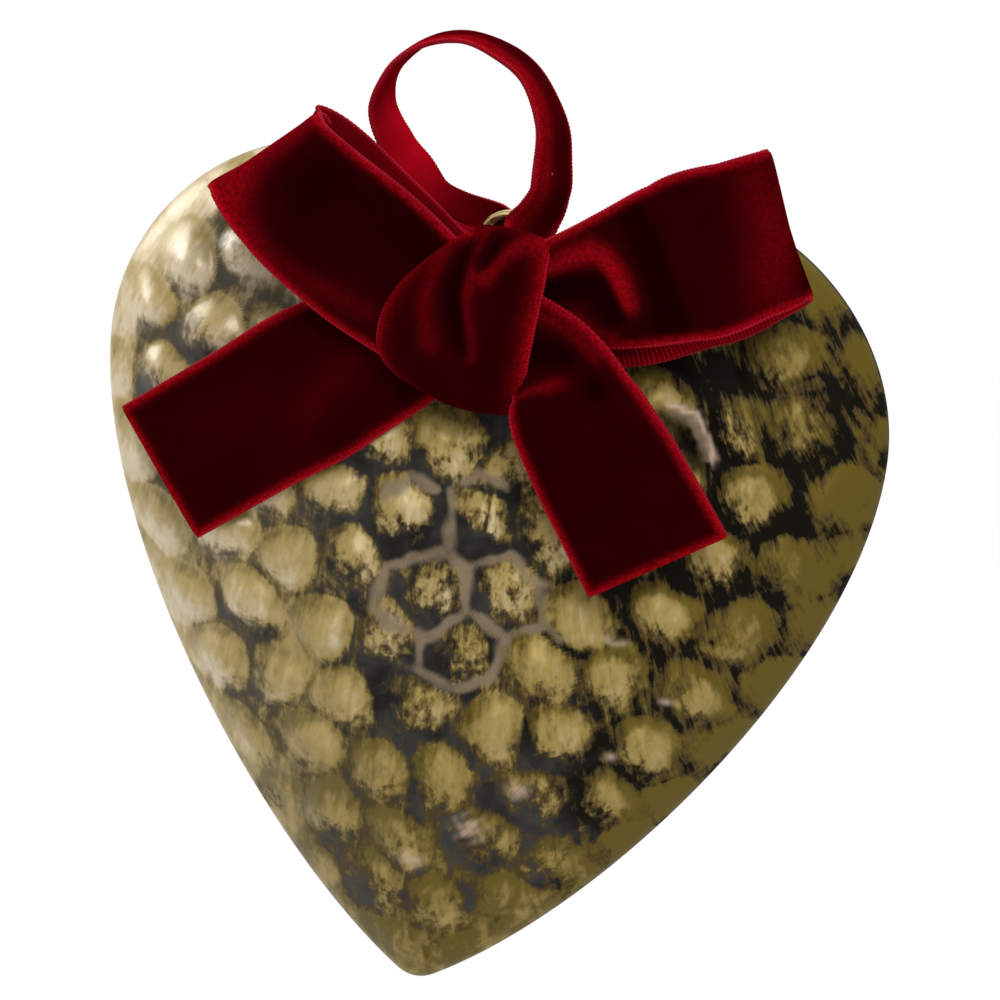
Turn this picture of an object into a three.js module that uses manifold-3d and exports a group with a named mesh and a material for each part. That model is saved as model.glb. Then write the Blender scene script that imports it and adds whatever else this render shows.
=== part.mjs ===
// Puffed heart ornament of pressed sheet metal, with a velvet bow and a ribbon loop to hang it by.
// Millimetres, +Z up, front towards -Y. The origin is where a hook meets the inside of the loop's crest.
import * as THREE from 'three';
import { mergeVertices } from 'three/addons/utils/BufferGeometryUtils.js';
import Module from 'manifold-3d';

// Heart outline: heights are above the tip, offsets are out from the middle line
const HEART_WIDTH = 120;
const HEART_HEIGHT = 127;
const SHOULDER_HEIGHT = 93.5;
const LOBE_PEAK_OFFSET = 28.5;
const CLEFT_DEPTH = 21;
const CLEFT_HALF_ANGLE = THREE.MathUtils.degToRad(40);
const TIP_RADIUS = 5;
const TIP_HALF_ANGLE = THREE.MathUtils.degToRad(57.5);

// Reach of the outline's curves along their end tangents
const FLANK_REACH_TIP = 29;
const FLANK_REACH_SHOULDER = 31.5;
const LOBE_REACH_SHOULDER = 18.5;
const LOBE_REACH_PEAK = 15;
const CLEFT_REACH_PEAK = 10;
const CLEFT_REACH = 7;

// Pressed shells: the dome is deepest at the crown below the cleft and turns steeply down at the rim
const CROWN_DROP = 27;
const FRONT_DEPTH = 16;
const BACK_DEPTH = 16;
const WALL = 0.6;
const SEAM_GAP = 0.3;
const DOME_FULLNESS = 2.3;
const RIM_ROUNDNESS = 0.6;

// Embossed bumps in staggered rows, with a plain margin along the rim
const BUMP_RISE = 2;
const BUMP_DIAMETER = 10.5;
const BUMP_PITCH = 11.3;
const BUMP_ROW_PITCH = 10.3;
const BUMP_DRIFT = 1.1;
const DRIFT_SIDEWAYS = { column: 2.1, row: 3.7 };
const DRIFT_UPWARD = { column: -2.9, row: 1.7 };
const BUMP_OFFSET = 3.8;
const BUMP_HEIGHT = 57.4;
const PLAIN_MARGIN = 2;
const FULL_RELIEF_MARGIN = 9;

// Solder bead inside the seam
const SOLDER_DIAMETER = 1.4;

// Wire eye in the cleft and the ring that hangs it
const EYE_WIRE = 1.4;
const EYE_BORE = 3.6;
const EYE_HEIGHT = 5.3;
const LEG_GAP = 0.5;
const LEG_LENGTH = 8;
const LEG_SPREAD = 3.4;
const RING_WIRE = 1.4;
const RING_BORE = 7.4;
const RING_CUT = 0.5;

// Velvet ribbons
const BOW_RIBBON_WIDTH = 22;
const BOW_RIBBON_THICKNESS = 1.2;
const LOOP_RIBBON_WIDTH = 10;
const LOOP_RIBBON_THICKNESS = 1;
const KNOT_WIDTH = 23.6;
const KNOT_HEIGHT = 26.6;
const KNOT_DEPTH = 16.4;
const KNOT_FULLNESS = 2.6;
const KNOT_SINK = 5.3;
const BOW_RISE = 3.5;
const GATHER = 0.4;

// Clearances
const TOUCH_GAP = 0.3;
const HOLE_CLEARANCE = 0.35;

// Counts of facets
const HEART_CELLS = 36;
const INNER_RINGS = 5;
const RIM_CROWDING = 1.4;
const WIRE_SIDES = 8;
const SOLDER_SIDES = 6;
const SOLDER_STEPS = 64;
const EYE_STEPS = 44;
const EYE_TURNS = 8;
const JUMP_RING_STEPS = 36;
const BAND_DIVISIONS = 3;
const HANGING_LOOP_STEPS = 76;
const BOW_LOOP_STEPS = 28;
const BOW_TAIL_STEPS = 12;
const KNOT_LAYERS = 9;
const KNOT_SIDES = 24;

const wasm = await Module();
wasm.setup();

// Heights worked out from the driving sizes
const cleftHeight = HEART_HEIGHT - CLEFT_DEPTH;
const eyeCentre = cleftHeight + EYE_HEIGHT;
const ringFoot = eyeCentre + EYE_BORE / 2 - TOUCH_GAP - RING_WIRE / 2;
const ringRadius = (RING_BORE + RING_WIRE) / 2;
const ringCentre = ringFoot + ringRadius;
const holeRadius = EYE_WIRE + LEG_GAP / 2 + HOLE_CLEARANCE;
const frontCrown = SEAM_GAP / 2 + FRONT_DEPTH + BUMP_RISE;
const bowHeight = cleftHeight + BOW_RISE;
const crown = new THREE.Vector2(0, cleftHeight - CROWN_DROP);

// Solids: a closed mesh with shared vertices for joining and cutting
function toSolid(geometry) {
  const bare = geometry.clone();
  bare.deleteAttribute('normal');
  bare.deleteAttribute('uv');
  const merged = mergeVertices(bare);
  const mesh = new wasm.Mesh({
    numProp: 3,
    vertProperties: new Float32Array(merged.attributes.position.array),
    triVerts: new Uint32Array(merged.index.array),
  });
  return new wasm.Manifold(mesh);
}

function toGeometry(solid) {
  const mesh = solid.getMesh();
  const geometry = new THREE.BufferGeometry();
  geometry.setAttribute('position', new THREE.BufferAttribute(mesh.vertProperties, 3));
  geometry.setIndex(new THREE.BufferAttribute(mesh.triVerts, 1));
  geometry.computeVertexNormals();
  return geometry;
}

function cut(geometry, ...tools) {
  const start = toSolid(geometry);
  return toGeometry(tools.reduce((solid, tool) => solid.subtract(toSolid(tool)), start));
}

// Six times the volume that the triangles enclose, positive when they face outwards
function signedVolume(points, triangles) {
  let total = 0;
  for (let i = 0; i < triangles.length; i += 3) {
    const [a, b, c] = [points[triangles[i]], points[triangles[i + 1]], points[triangles[i + 2]]];
    total += a.dot(new THREE.Vector3().crossVectors(b, c));
  }
  return total;
}

// Closed body of points and triangles that all face the same way, turned outwards
function body(points, triangles) {
  const geometry = new THREE.BufferGeometry().setFromPoints(points);
  geometry.setIndex(signedVolume(points, triangles) > 0 ? triangles : triangles.toReversed());
  geometry.computeVertexNormals();
  return geometry;
}

// Triangles between two closed rows of point numbers with equal counts
function strip(row, next) {
  return row.flatMap((here, i) => {
    const along = (i + 1) % row.length;
    return [here, row[along], next[along], here, next[along], next[i]];
  });
}

// Triangles from a closed row of point numbers to one point
function fan(row, pole) {
  return row.flatMap((here, i) => [here, row[(i + 1) % row.length], pole]);
}

// Numbers of the points in rows that are stored one after another
function numbered(rows, first = 0) {
  return rows.map((row, r) => row.map((_, i) => first + r * row.length + i));
}

// Skin over closed rings with equal counts of points: its ends are poles, or the last ring meets the first
function skin(rings, poles) {
  const rows = numbered(rings);
  const points = rings.flat();
  const triangles = rows.slice(1).flatMap((row, i) => strip(rows[i], row));
  if (poles) {
    triangles.push(...fan(rows.at(-1), points.length + 1), ...fan(rows[0].toReversed(), points.length));
    points.push(...poles);
  } else {
    triangles.push(...strip(rows.at(-1), rows[0]));
  }
  return body(points, triangles);
}

// Round wire along a path, with a section of a given count of sides
function wire(path, diameter, steps, sides) {
  const corners = Array.from({ length: sides }, (_, i) => {
    const angle = (i / sides) * 2 * Math.PI;
    return new THREE.Vector2(Math.cos(angle), Math.sin(angle)).multiplyScalar(diameter / 2);
  });
  const options = { steps, extrudePath: path, bevelEnabled: false };
  return new THREE.ExtrudeGeometry(new THREE.Shape(corners), options);
}

// Right half of the outline from the cleft over the lobe and down the flank to the tip
function rightHalf() {
  const path = new THREE.Path();
  const halfWidth = HEART_WIDTH / 2;
  const flankX = TIP_RADIUS * Math.cos(TIP_HALF_ANGLE);
  const flankZ = TIP_RADIUS * (1 - Math.sin(TIP_HALF_ANGLE));
  const reachX = FLANK_REACH_TIP * Math.sin(TIP_HALF_ANGLE);
  const reachZ = FLANK_REACH_TIP * Math.cos(TIP_HALF_ANGLE);
  path.moveTo(0, cleftHeight);
  path.bezierCurveTo(
    CLEFT_REACH * Math.sin(CLEFT_HALF_ANGLE), cleftHeight + CLEFT_REACH * Math.cos(CLEFT_HALF_ANGLE),
    LOBE_PEAK_OFFSET - CLEFT_REACH_PEAK, HEART_HEIGHT,
    LOBE_PEAK_OFFSET, HEART_HEIGHT,
  );
  path.bezierCurveTo(
    LOBE_PEAK_OFFSET + LOBE_REACH_PEAK, HEART_HEIGHT,
    halfWidth, SHOULDER_HEIGHT + LOBE_REACH_SHOULDER,
    halfWidth, SHOULDER_HEIGHT,
  );
  path.bezierCurveTo(
    halfWidth, SHOULDER_HEIGHT - FLANK_REACH_SHOULDER,
    flankX + reachX, flankZ + reachZ,
    flankX, flankZ,
  );
  path.absarc(0, TIP_RADIUS, TIP_RADIUS, -TIP_HALF_ANGLE, -Math.PI / 2, true);
  return path;
}

const rightEdge = rightHalf();

// Point at a share of the way round the heart, from the cleft over the right lobe to the tip and back
function rimPoint(share) {
  const point = rightEdge.getPoint(share <= 0.5 ? 2 * share : 2 - 2 * share);
  return share <= 0.5 ? point : point.setX(-point.x);
}

function insetOutline(outline, distance) {
  return outline.map((point, i) => {
    const next = outline[(i + 1) % outline.length];
    const before = outline[(i + outline.length - 1) % outline.length];
    const along = next.clone().sub(before).normalize();
    return new THREE.Vector2(point.x + distance * along.y, point.y - distance * along.x);
  });
}

const outlineSteps = 4 * HEART_CELLS;
const outline = Array.from({ length: outlineSteps }, (_, i) => rimPoint(i / outlineSteps));

// Share of the full depth at a place that lies rho of the way from the crown to the rim
function domeShare(rho) {
  return Math.max(0, 1 - rho ** DOME_FULLNESS) ** RIM_ROUNDNESS;
}

// Centre of the bump in a row and column: odd rows are staggered, and each bump drifts a little
function bumpCentre(row, column) {
  const stagger = Math.abs(row % 2) / 2;
  const drift = (turn) => BUMP_DRIFT * Math.sin(turn.column * column + turn.row * row);
  return new THREE.Vector2(
    BUMP_OFFSET + (column + stagger) * BUMP_PITCH + drift(DRIFT_SIDEWAYS),
    BUMP_HEIGHT + row * BUMP_ROW_PITCH + drift(DRIFT_UPWARD),
  );
}

// Height of the embossing at a place, the tallest of the nearest bumps
function relief(place) {
  const row = Math.round((place.y - BUMP_HEIGHT) / BUMP_ROW_PITCH);
  const column = Math.round((place.x - BUMP_OFFSET) / BUMP_PITCH);
  let height = 0;
  for (let r = row - 1; r <= row + 1; r += 1) {
    for (let c = column - 1; c <= column + 1; c += 1) {
      const out = Math.min(1, (2 * place.distanceTo(bumpCentre(r, c))) / BUMP_DIAMETER);
      height = Math.max(height, BUMP_RISE * Math.cos((out * Math.PI) / 2) ** 2);
    }
  }
  return height;
}

// Share of the way round the edge of a square, clockwise from the middle of its top side
function shareRound(a, b) {
  const half = Math.max(Math.abs(a), Math.abs(b));
  const side = [b === half && a >= 0, a === half, b === -half, a === -half, true].indexOf(true);
  const run = [a, 2 * half - b, 4 * half - a, 6 * half + b, 8 * half + a][side];
  return half ? run / (8 * half) : 0;
}

// Cells of the outer face: squares round the middle of a grid become rings round the heart's crown
function heartCells() {
  const half = HEART_CELLS / 2;
  const lines = Array.from({ length: HEART_CELLS + 1 }, (_, i) => i - half);
  const knots = lines.flatMap((b) => lines.map((a) => {
    const ring = Math.max(Math.abs(a), Math.abs(b)) / half;
    return { share: shareRound(a, b), rho: 1 - (1 - ring) ** RIM_CROWDING };
  }));
  const at = (a, b) => (b + half) * lines.length + a + half;
  const starts = lines.slice(0, -1);
  const triangles = starts.flatMap((b) => starts.flatMap((a) => {
    const [p, q, r, s] = [at(a, b), at(a + 1, b), at(a + 1, b + 1), at(a, b + 1)];
    return (a < 0) === (b < 0) ? [p, q, r, p, r, s] : [p, q, s, q, r, s];
  }));
  const edge = knots.flatMap((knot, i) => (knot.rho === 1 ? [i] : []));
  return { knots, triangles, rim: edge.sort((i, k) => knots[i].share - knots[k].share) };
}

// One pressed half: side -1 is the front, +1 the back
function shell(side, depth) {
  const { knots, triangles, rim } = heartCells();
  const inner = insetOutline(outline, WALL);
  const rise = (height) => side * (SEAM_GAP / 2 + height);
  const outerPoints = knots.map(({ share, rho }) => {
    const edge = rimPoint(share);
    const place = crown.clone().lerp(edge, rho);
    const fade = THREE.MathUtils.smoothstep(place.distanceTo(edge), PLAIN_MARGIN, FULL_RELIEF_MARGIN);
    return new THREE.Vector3(place.x, rise(depth * domeShare(rho) + fade * relief(place)), place.y);
  });
  const innerRings = Array.from({ length: INNER_RINGS }, (_, i) => {
    const rho = 1 - (i / INNER_RINGS) ** RIM_CROWDING;
    return inner.map((edge) => {
      const place = crown.clone().lerp(edge, rho);
      return new THREE.Vector3(place.x, rise((depth - WALL) * domeShare(rho)), place.y);
    });
  });
  const rows = [rim, ...numbered(innerRings, outerPoints.length)];
  const pole = new THREE.Vector3(crown.x, rise(depth - WALL), crown.y);
  const points = [...outerPoints, ...innerRings.flat(), pole];
  const lining = rows.slice(1).flatMap((row, i) => strip(rows[i], row));
  return body(points, [...triangles, ...lining, ...fan(rows.at(-1), points.length - 1)]);
}

// Round hole through both halves of the seam for the eye's legs
function legHole() {
  const tool = new THREE.CylinderGeometry(holeRadius, holeRadius, 2 * LEG_LENGTH, 2 * WIRE_SIDES);
  tool.rotateX(Math.PI / 2);
  tool.translate(0, 0, cleftHeight);
  return tool;
}

// Bead along the inside of the seam, open at the cleft where the eye's legs pass
function seamSolder() {
  const inset = insetOutline(outline, WALL + TOUCH_GAP + SOLDER_DIAMETER / 2);
  const cleft = new THREE.Vector2(0, cleftHeight);
  const clear = holeRadius + SOLDER_DIAMETER + LEG_SPREAD;
  const run = inset.filter((point) => point.distanceTo(cleft) > clear);
  const path = new THREE.CatmullRomCurve3(run.map((p) => new THREE.Vector3(p.x, 0, p.y)));
  return wire(path, SOLDER_DIAMETER, SOLDER_STEPS, SOLDER_SIDES);
}

// Wire eye across the heart's thickness: a leg up, round the bore and down again
function hangerEye() {
  const radius = (EYE_BORE + EYE_WIRE) / 2;
  const legY = (EYE_WIRE + LEG_GAP) / 2;
  const neck = eyeCentre - Math.sqrt(radius ** 2 - legY ** 2);
  const shoulder = cleftHeight - LEG_LENGTH / 2;
  const foot = cleftHeight - LEG_LENGTH;
  const bend = Math.asin(legY / radius);
  const start = bend + EYE_WIRE / radius;
  const loop = Array.from({ length: EYE_TURNS + 1 }, (_, i) => {
    const angle = start + (i / EYE_TURNS) * 2 * (Math.PI - start);
    return new THREE.Vector3(0, -radius * Math.sin(angle), eyeCentre - radius * Math.cos(angle));
  });
  const front = [
    new THREE.Vector3(0, -LEG_SPREAD, foot),
    new THREE.Vector3(0, -legY, shoulder),
    new THREE.Vector3(0, -legY, Math.min(neck, cleftHeight) - EYE_WIRE / 2),
    new THREE.Vector3(0, -legY, neck - EYE_WIRE / 2),
  ];
  const back = front.map((p) => new THREE.Vector3(p.x, -p.y, p.z)).reverse();
  return wire(new THREE.CatmullRomCurve3([...front, ...loop, ...back]), EYE_WIRE, EYE_STEPS, WIRE_SIDES);
}

// Ring of wire in the plane of the heart, with the small cut that it is opened by
function jumpRing() {
  const halfCut = RING_CUT / 2 / ringRadius;
  const points = Array.from({ length: JUMP_RING_STEPS + 1 }, (_, i) => {
    const angle = halfCut + (i / JUMP_RING_STEPS) * 2 * (Math.PI - halfCut);
    return new THREE.Vector3(ringRadius * Math.cos(angle), 0, ringCentre + ringRadius * Math.sin(angle));
  });
  return wire(new THREE.CatmullRomCurve3(points), RING_WIRE, JUMP_RING_STEPS, WIRE_SIDES);
}

// Band carried along stations of a middle point, a width direction, a share of the full width and a cup
function ribbon(stations, width, thickness, steps, closed = false) {
  const middle = new THREE.CatmullRomCurve3(stations.map((s) => s.at), closed);
  const across = new THREE.CatmullRomCurve3(stations.map((s) => s.across), closed);
  const form = new THREE.CatmullRomCurve3(stations.map((s) => new THREE.Vector3(s.share, s.cup, 0)), closed);
  const span = Array.from({ length: BAND_DIVISIONS + 1 }, (_, i) => (2 * i) / BAND_DIVISIONS - 1);
  const section = [...span.map((v) => [v, 1]), ...span.reverse().map((v) => [v, -1])];
  const rings = Array.from({ length: closed ? steps : steps + 1 }, (_, i) => {
    const t = i / steps;
    const point = middle.getPoint(t);
    const along = middle.getTangent(t);
    const sideways = across.getPoint(t).projectOnPlane(along).normalize();
    const up = new THREE.Vector3().crossVectors(sideways, along);
    const { x: share, y: cup } = form.getPoint(t);
    return section.map(([v, face]) => point.clone()
      .addScaledVector(sideways, (v * share * width) / 2)
      .addScaledVector(up, (face * thickness) / 2 + cup * (1 - v ** 2)));
  });
  return skin(rings, closed ? null : [middle.getPoint(0), middle.getPoint(1)]);
}

// Station of the bow: offset from the knot's middle, lift above the dome's crown, tilt of the width, share
function bowStation([x, z, lift, tilt, share]) {
  const angle = THREE.MathUtils.degToRad(tilt);
  return {
    at: new THREE.Vector3(x, -(frontCrown + lift), bowHeight + z),
    across: new THREE.Vector3(Math.cos(angle), 0, Math.sin(angle)),
    share,
    cup: 0,
  };
}

const LEFT_LOOP_ROUTE = [
  [-5.3, 1, 5.5, 60, 0.9], [-15.1, 7.5, 8, 57, 1], [-23.8, 12.8, 8.5, 52, 0.97],
  [-29.2, 16.5, 7.4, 46, 0.91], [-31.4, 18.4, 5.4, 42, 0.9], [-31.8, 18.5, 3.6, 42, 0.9],
  [-31, 17.2, 1.8, 42, 0.91], [-27, 15.3, 1, 47, 0.97], [-14.4, 7, 2.2, 58, 1], [-5.4, 0.9, 2.6, 62, 0.97],
];
const RIGHT_LOOP_ROUTE = [
  [6, 3.5, 4.4, 108, 0.5], [20.5, 9, 6, 108, 0.85], [29.7, 13.8, 8.5, 110, 1], [38.4, 18.2, 7.4, 113, 1],
  [42.3, 20.2, 5.9, 114, 0.98], [43.5, 20.8, 3.8, 114, 0.96], [42.3, 19.6, 1.7, 113, 0.97],
  [38, 16.3, 0.4, 112, 1], [30, 11.2, 0.3, 111, 1], [21.7, 6.2, 0.8, 110, 0.9], [8, 2, 1.5, 112, 0.6],
];
const LEFT_TAIL_ROUTE = [
  [-5.5, -1.5, -0.2, 126, 0.9], [-18.9, -12.2, 0.3, 127, 1], [-31.1, -21.9, 0.2, 124, 1],
  [-44.5, -32.7, -1.6, 118, 1],
];
const RIGHT_TAIL_ROUTE = [
  [4, 1.5, 5.2, 64, 0.5], [14.9, -3.9, 8.6, 52, 0.7], [18.8, -9.6, 9, 36, 0.88], [24.4, -18.1, 7, 33, 0.97],
  [32.8, -30.5, 5, 46, 1],
];

function bowRibbon(route, steps, knot) {
  const band = ribbon(route.map(bowStation), BOW_RIBBON_WIDTH, BOW_RIBBON_THICKNESS, steps);
  return cut(band, knot);
}

// Outline of the knot from the front, in shares of its half width and half height
const KNOT_OUTLINE = [
  [-1, -0.5], [-0.84, 0.25], [-0.25, 0.92], [0.4, 1], [0.94, 0.92], [0.95, 0], [0.86, -0.72], [0.2, -1],
  [-0.5, -0.86],
];

// Knot: a full lump that rests on the dome above the cleft, grown by a gap where ribbons are cut by it
function bowKnot(grown = 0) {
  const [halfX, halfY, halfZ] = [KNOT_WIDTH, KNOT_DEPTH, KNOT_HEIGHT].map((size) => size / 2 + grown);
  const depthAt = -(frontCrown - KNOT_SINK + KNOT_DEPTH / 2);
  const corners = KNOT_OUTLINE.map(([x, z]) => new THREE.Vector3(x * halfX, 0, z * halfZ));
  const edge = new THREE.CatmullRomCurve3(corners, true).getSpacedPoints(KNOT_SIDES).slice(0, KNOT_SIDES);
  const layer = (i) => {
    const latitude = ((i + 1) / (KNOT_LAYERS + 1) - 0.5) * Math.PI;
    const girth = Math.cos(latitude) ** (2 / KNOT_FULLNESS);
    const depth = depthAt - halfY * Math.sin(latitude);
    return edge.map((p) => new THREE.Vector3(p.x * girth, depth, bowHeight + p.z * girth));
  };
  const poles = [-1, 1].map((end) => new THREE.Vector3(0, depthAt - end * halfY, bowHeight));
  return skin(Array.from({ length: KNOT_LAYERS }, (_, i) => layer(i)), poles);
}

// Free stretch of the hanging loop: a point above the ring's top, a width direction and a share of the width
const LOOP_ROUTE = [
  [2.2, -3.3, -2.4, 0.97, 0.2, -0.1, 0.65], [4.3, -2.9, 0.9, 0.66, 0.75, 0, 0.85],
  [5.5, -2.3, 4.6, 0.34, 0.93, -0.1, 1], [5.1, -1.3, 9, 0.3, 0.95, 0, 1],
  [4, -0.5, 14.3, 0.2, 0.98, -0.05, 1], [-0.1, 0, 20.7, 0.07, 1, 0, 1],
  [-5.2, 0, 23.7, -0.05, 1, 0.04, 1], [-10.6, 0, 24.7, -0.15, 1, 0, 1],
  [-16.4, 0, 23, -0.19, 0.98, -0.08, 1], [-20.9, 0, 18.2, -0.12, 0.98, -0.13, 1],
  [-22, 0.3, 12.8, 0.08, 1, -0.03, 1], [-19.1, 1, 7.4, 0.2, 0.97, 0.1, 0.95],
  [-16, 1.8, 4.3, 0.25, 0.95, 0.15, 0.8], [-12.8, 2.6, 0.9, 0.3, 0.92, 0.2, 0.65],
  [-8.8, 3.1, -0.9, 0.2, 0.75, 0.6, 0.55], [-3.7, 3.3, -1.9, 0.15, 0.5, 0.85, 0.5],
];

// Places beside the ring's wire, in shares of the ribbon's distance from it, and width directions there
const RING_FRONT = [0.2, -1.35, -1.9, 1, 0, 0];
const RING_BACK = [-0.9, 1.25, -1.35, 0.75, 0.1, 0.6];

// Hanging loop: the ribbon is gathered under the ring's top, its right strand in front and its left behind
function loopStations() {
  const hug = RING_WIRE / 2 + HOLE_CLEARANCE + LOOP_RIBBON_THICKNESS / 2;
  const top = ringCentre + ringRadius;
  const sag = ringRadius - Math.sqrt(ringRadius ** 2 - (GATHER * LOOP_RIBBON_WIDTH / 2) ** 2);
  const station = ([x, y, z, wx, wy, wz, share], cup = 0) => ({
    at: new THREE.Vector3(x, y, top + z),
    across: new THREE.Vector3(wx, wy, wz).normalize(),
    share,
    cup,
  });
  const beside = ([x, y, z, ...across]) => station([x * hug, y * hug, z * hug, ...across, GATHER]);
  const under = station([0, 0, -hug - sag, 1, 0, 0, GATHER], -sag);
  const free = LOOP_ROUTE.map((values) => station(values));
  return [under, beside(RING_FRONT), ...free, beside(RING_BACK)];
}

// Finishes
const ANTIQUE_GOLD = { color: 0x9c8950, roughness: 0.42, metalness: 0.85 };
const SOLDER = { color: 0x6d6c66, roughness: 0.5, metalness: 0.9 };
const BRASS = { color: 0xb59a55, roughness: 0.3, metalness: 1 };
const VELVET = { color: 0x5a0209, roughness: 0.95, metalness: 0 };

function piece(name, geometry, finish) {
  const mesh = new THREE.Mesh(geometry, new THREE.MeshStandardMaterial(finish));
  mesh.name = name;
  return mesh;
}

const loop = loopStations();
const crest = loop.reduce((highest, s) => (s.at.z > highest.at.z ? s : highest)).at;
const knotTool = bowKnot(TOUCH_GAP);

const heart = new THREE.Group();
heart.add(
  piece('front_shell', cut(shell(-1, FRONT_DEPTH), legHole()), ANTIQUE_GOLD),
  piece('back_shell', cut(shell(1, BACK_DEPTH), legHole()), ANTIQUE_GOLD),
  piece('seam_solder', seamSolder(), SOLDER),
);

const bow = new THREE.Group();
bow.add(
  piece('bow_knot', bowKnot(), VELVET),
  piece('bow_loop_left', bowRibbon(LEFT_LOOP_ROUTE, BOW_LOOP_STEPS, knotTool), VELVET),
  piece('bow_loop_right', bowRibbon(RIGHT_LOOP_ROUTE, BOW_LOOP_STEPS, knotTool), VELVET),
  piece('bow_tail_left', bowRibbon(LEFT_TAIL_ROUTE, BOW_TAIL_STEPS, knotTool), VELVET),
  piece('bow_tail_right', bowRibbon(RIGHT_TAIL_ROUTE, BOW_TAIL_STEPS, knotTool), VELVET),
);

const band = ribbon(loop, LOOP_RIBBON_WIDTH, LOOP_RIBBON_THICKNESS, HANGING_LOOP_STEPS, true);
const hanger = new THREE.Group();
hanger.add(
  piece('hanger_eye', hangerEye(), BRASS),
  piece('jump_ring', jumpRing(), BRASS),
  piece('hanging_loop', band, VELVET),
);

// The whole ornament hangs from the origin
const ornament = new THREE.Group();
ornament.add(heart, bow, hanger);
ornament.position.set(-crest.x, 0, -(crest.z - LOOP_RIBBON_THICKNESS / 2));

export default ornament;
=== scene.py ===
"""Looks of a puffed heart ornament: embossed gold shells, a velvet bow, a wire ring and a ribbon loop.

Sizes are millimetres in the heart's own frame, with the tip at height 0, the middle line at x 0 and the seam
at y 0, as in the part's source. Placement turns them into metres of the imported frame.
"""

import logging
import math
from dataclasses import dataclass, field
from enum import Enum
from typing import Any, Union

import bpy
import numpy as np
from mathutils import Matrix, Vector


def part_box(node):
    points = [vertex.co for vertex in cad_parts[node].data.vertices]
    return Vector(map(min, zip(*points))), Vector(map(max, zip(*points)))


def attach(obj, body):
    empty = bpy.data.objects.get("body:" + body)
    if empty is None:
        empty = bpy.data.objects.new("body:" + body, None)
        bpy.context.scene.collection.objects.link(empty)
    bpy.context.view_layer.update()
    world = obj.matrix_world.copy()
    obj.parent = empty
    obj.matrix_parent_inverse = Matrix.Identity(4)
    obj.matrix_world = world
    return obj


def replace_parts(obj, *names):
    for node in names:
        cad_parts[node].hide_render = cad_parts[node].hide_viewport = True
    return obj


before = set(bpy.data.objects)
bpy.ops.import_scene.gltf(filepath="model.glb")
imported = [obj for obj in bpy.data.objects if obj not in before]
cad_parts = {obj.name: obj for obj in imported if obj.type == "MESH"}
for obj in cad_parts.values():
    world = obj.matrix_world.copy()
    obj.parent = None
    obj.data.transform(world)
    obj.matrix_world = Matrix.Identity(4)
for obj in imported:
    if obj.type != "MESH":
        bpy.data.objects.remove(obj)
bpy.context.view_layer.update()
LOG = logging.getLogger("ornament")
MM = 0.001
END_FLAT = 0.0005
TINY = 1e-4
FAR = 1e3
STEEP = 0.95
RIB_PITCH = 0.53
THREAD_RADIUS = 0.34
THREAD_SIDES = 8
Socket = bpy.types.NodeSocket
Feed = Union[Socket, float, tuple]
Node = bpy.types.Node
Tree = bpy.types.NodeTree
Material = bpy.types.Material
Array = np.ndarray
Fields = dict[str, Array]


class Body(str, Enum):
    """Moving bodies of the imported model."""

    HANGER = "hanger"
    RING = "ring"
    EYE = "eye"
    HEART = "heart"


class Cloth(int, Enum):
    """Material slots of a ribbon."""

    PILE = 0
    SATIN = 1


class Held(str, Enum):
    """Ways in which a ribbon is held."""

    FOLDED = "folded"
    LAID = "laid"
    GATHERED = "gathered"
    HUNG = "hung"


# Surfaces in numbers


@dataclass
class Surface:
    """A mesh in numbers.

    points are millimetres of the heart's frame, faces are rows of four point numbers, slots are material
    numbers of the faces, shades are named values per point and uv holds two coordinates per point.
    """

    points: Array
    faces: Array
    slots: Array | None = None
    shades: Fields = field(default_factory=dict)
    uv: Array | None = None


@dataclass(frozen=True)
class Placement:
    """Where the heart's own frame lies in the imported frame, in metres."""

    offset: tuple[float, float, float]

    @classmethod
    def from_frame(cls) -> "Placement":
        """Read the place of the heart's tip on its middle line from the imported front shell."""
        low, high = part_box("front_shell")
        return cls(((low.x + high.x) / 2, 0.0, low.z))

    def metres(self, points: Array) -> Array:
        """Turn millimetres of the heart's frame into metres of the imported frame."""
        return np.asarray(points, float) * MM + np.asarray(self.offset)


def smoothstep(value: Array, low: float, high: float) -> Array:
    """Ease values from 0 at low to 1 at high, by three times the square less twice the cube."""
    t = np.clip((value - low) / (high - low), 0, 1)
    return t * t * (3 - 2 * t)


def grid_faces(rows: int, cols: int, wrap_rows: bool = False, wrap_cols: bool = False) -> Array:
    """Number the quads of a grid of points that is stored row by row.

    Args:
        rows: Rows of points.
        cols: Points in a row.
        wrap_rows: Whether the last row joins the first.
        wrap_cols: Whether a row's last point joins its first.

    Returns:
        One row of four point numbers for each quad.
    """
    i = np.arange(rows if wrap_rows else rows - 1)[:, None]
    j = np.arange(cols if wrap_cols else cols - 1)[None, :]
    below, right = (i + 1) % rows, (j + 1) % cols
    corners = (i * cols + j, i * cols + right, below * cols + right, below * cols + j)
    return np.stack(corners, -1).reshape(-1, 4)


def lid_faces(ring: Array) -> Array:
    """Close a ring of an even number of points by a ladder of quads across it.

    Args:
        ring: The ring's point numbers in order.

    Returns:
        One row of four point numbers for each quad.
    """
    count = len(ring)
    k = np.arange(count // 2 - 1)
    return ring[np.stack([k, k + 1, count - 2 - k, count - 1 - k], -1)]


def outward(points: Array, faces: Array) -> Array:
    """Turn the faces of a closed surface so that they look outwards.

    Args:
        points: The surface's points.
        faces: Its quads.

    Returns:
        The quads, reversed where the volume that they enclose came out negative.
    """
    a, b, c, d = (points[faces[:, k]] for k in range(4))
    volume = np.einsum("ij,ij->", a, np.cross(b, c)) + np.einsum("ij,ij->", a, np.cross(c, d))
    return faces if volume > 0 else faces[:, ::-1]


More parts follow.
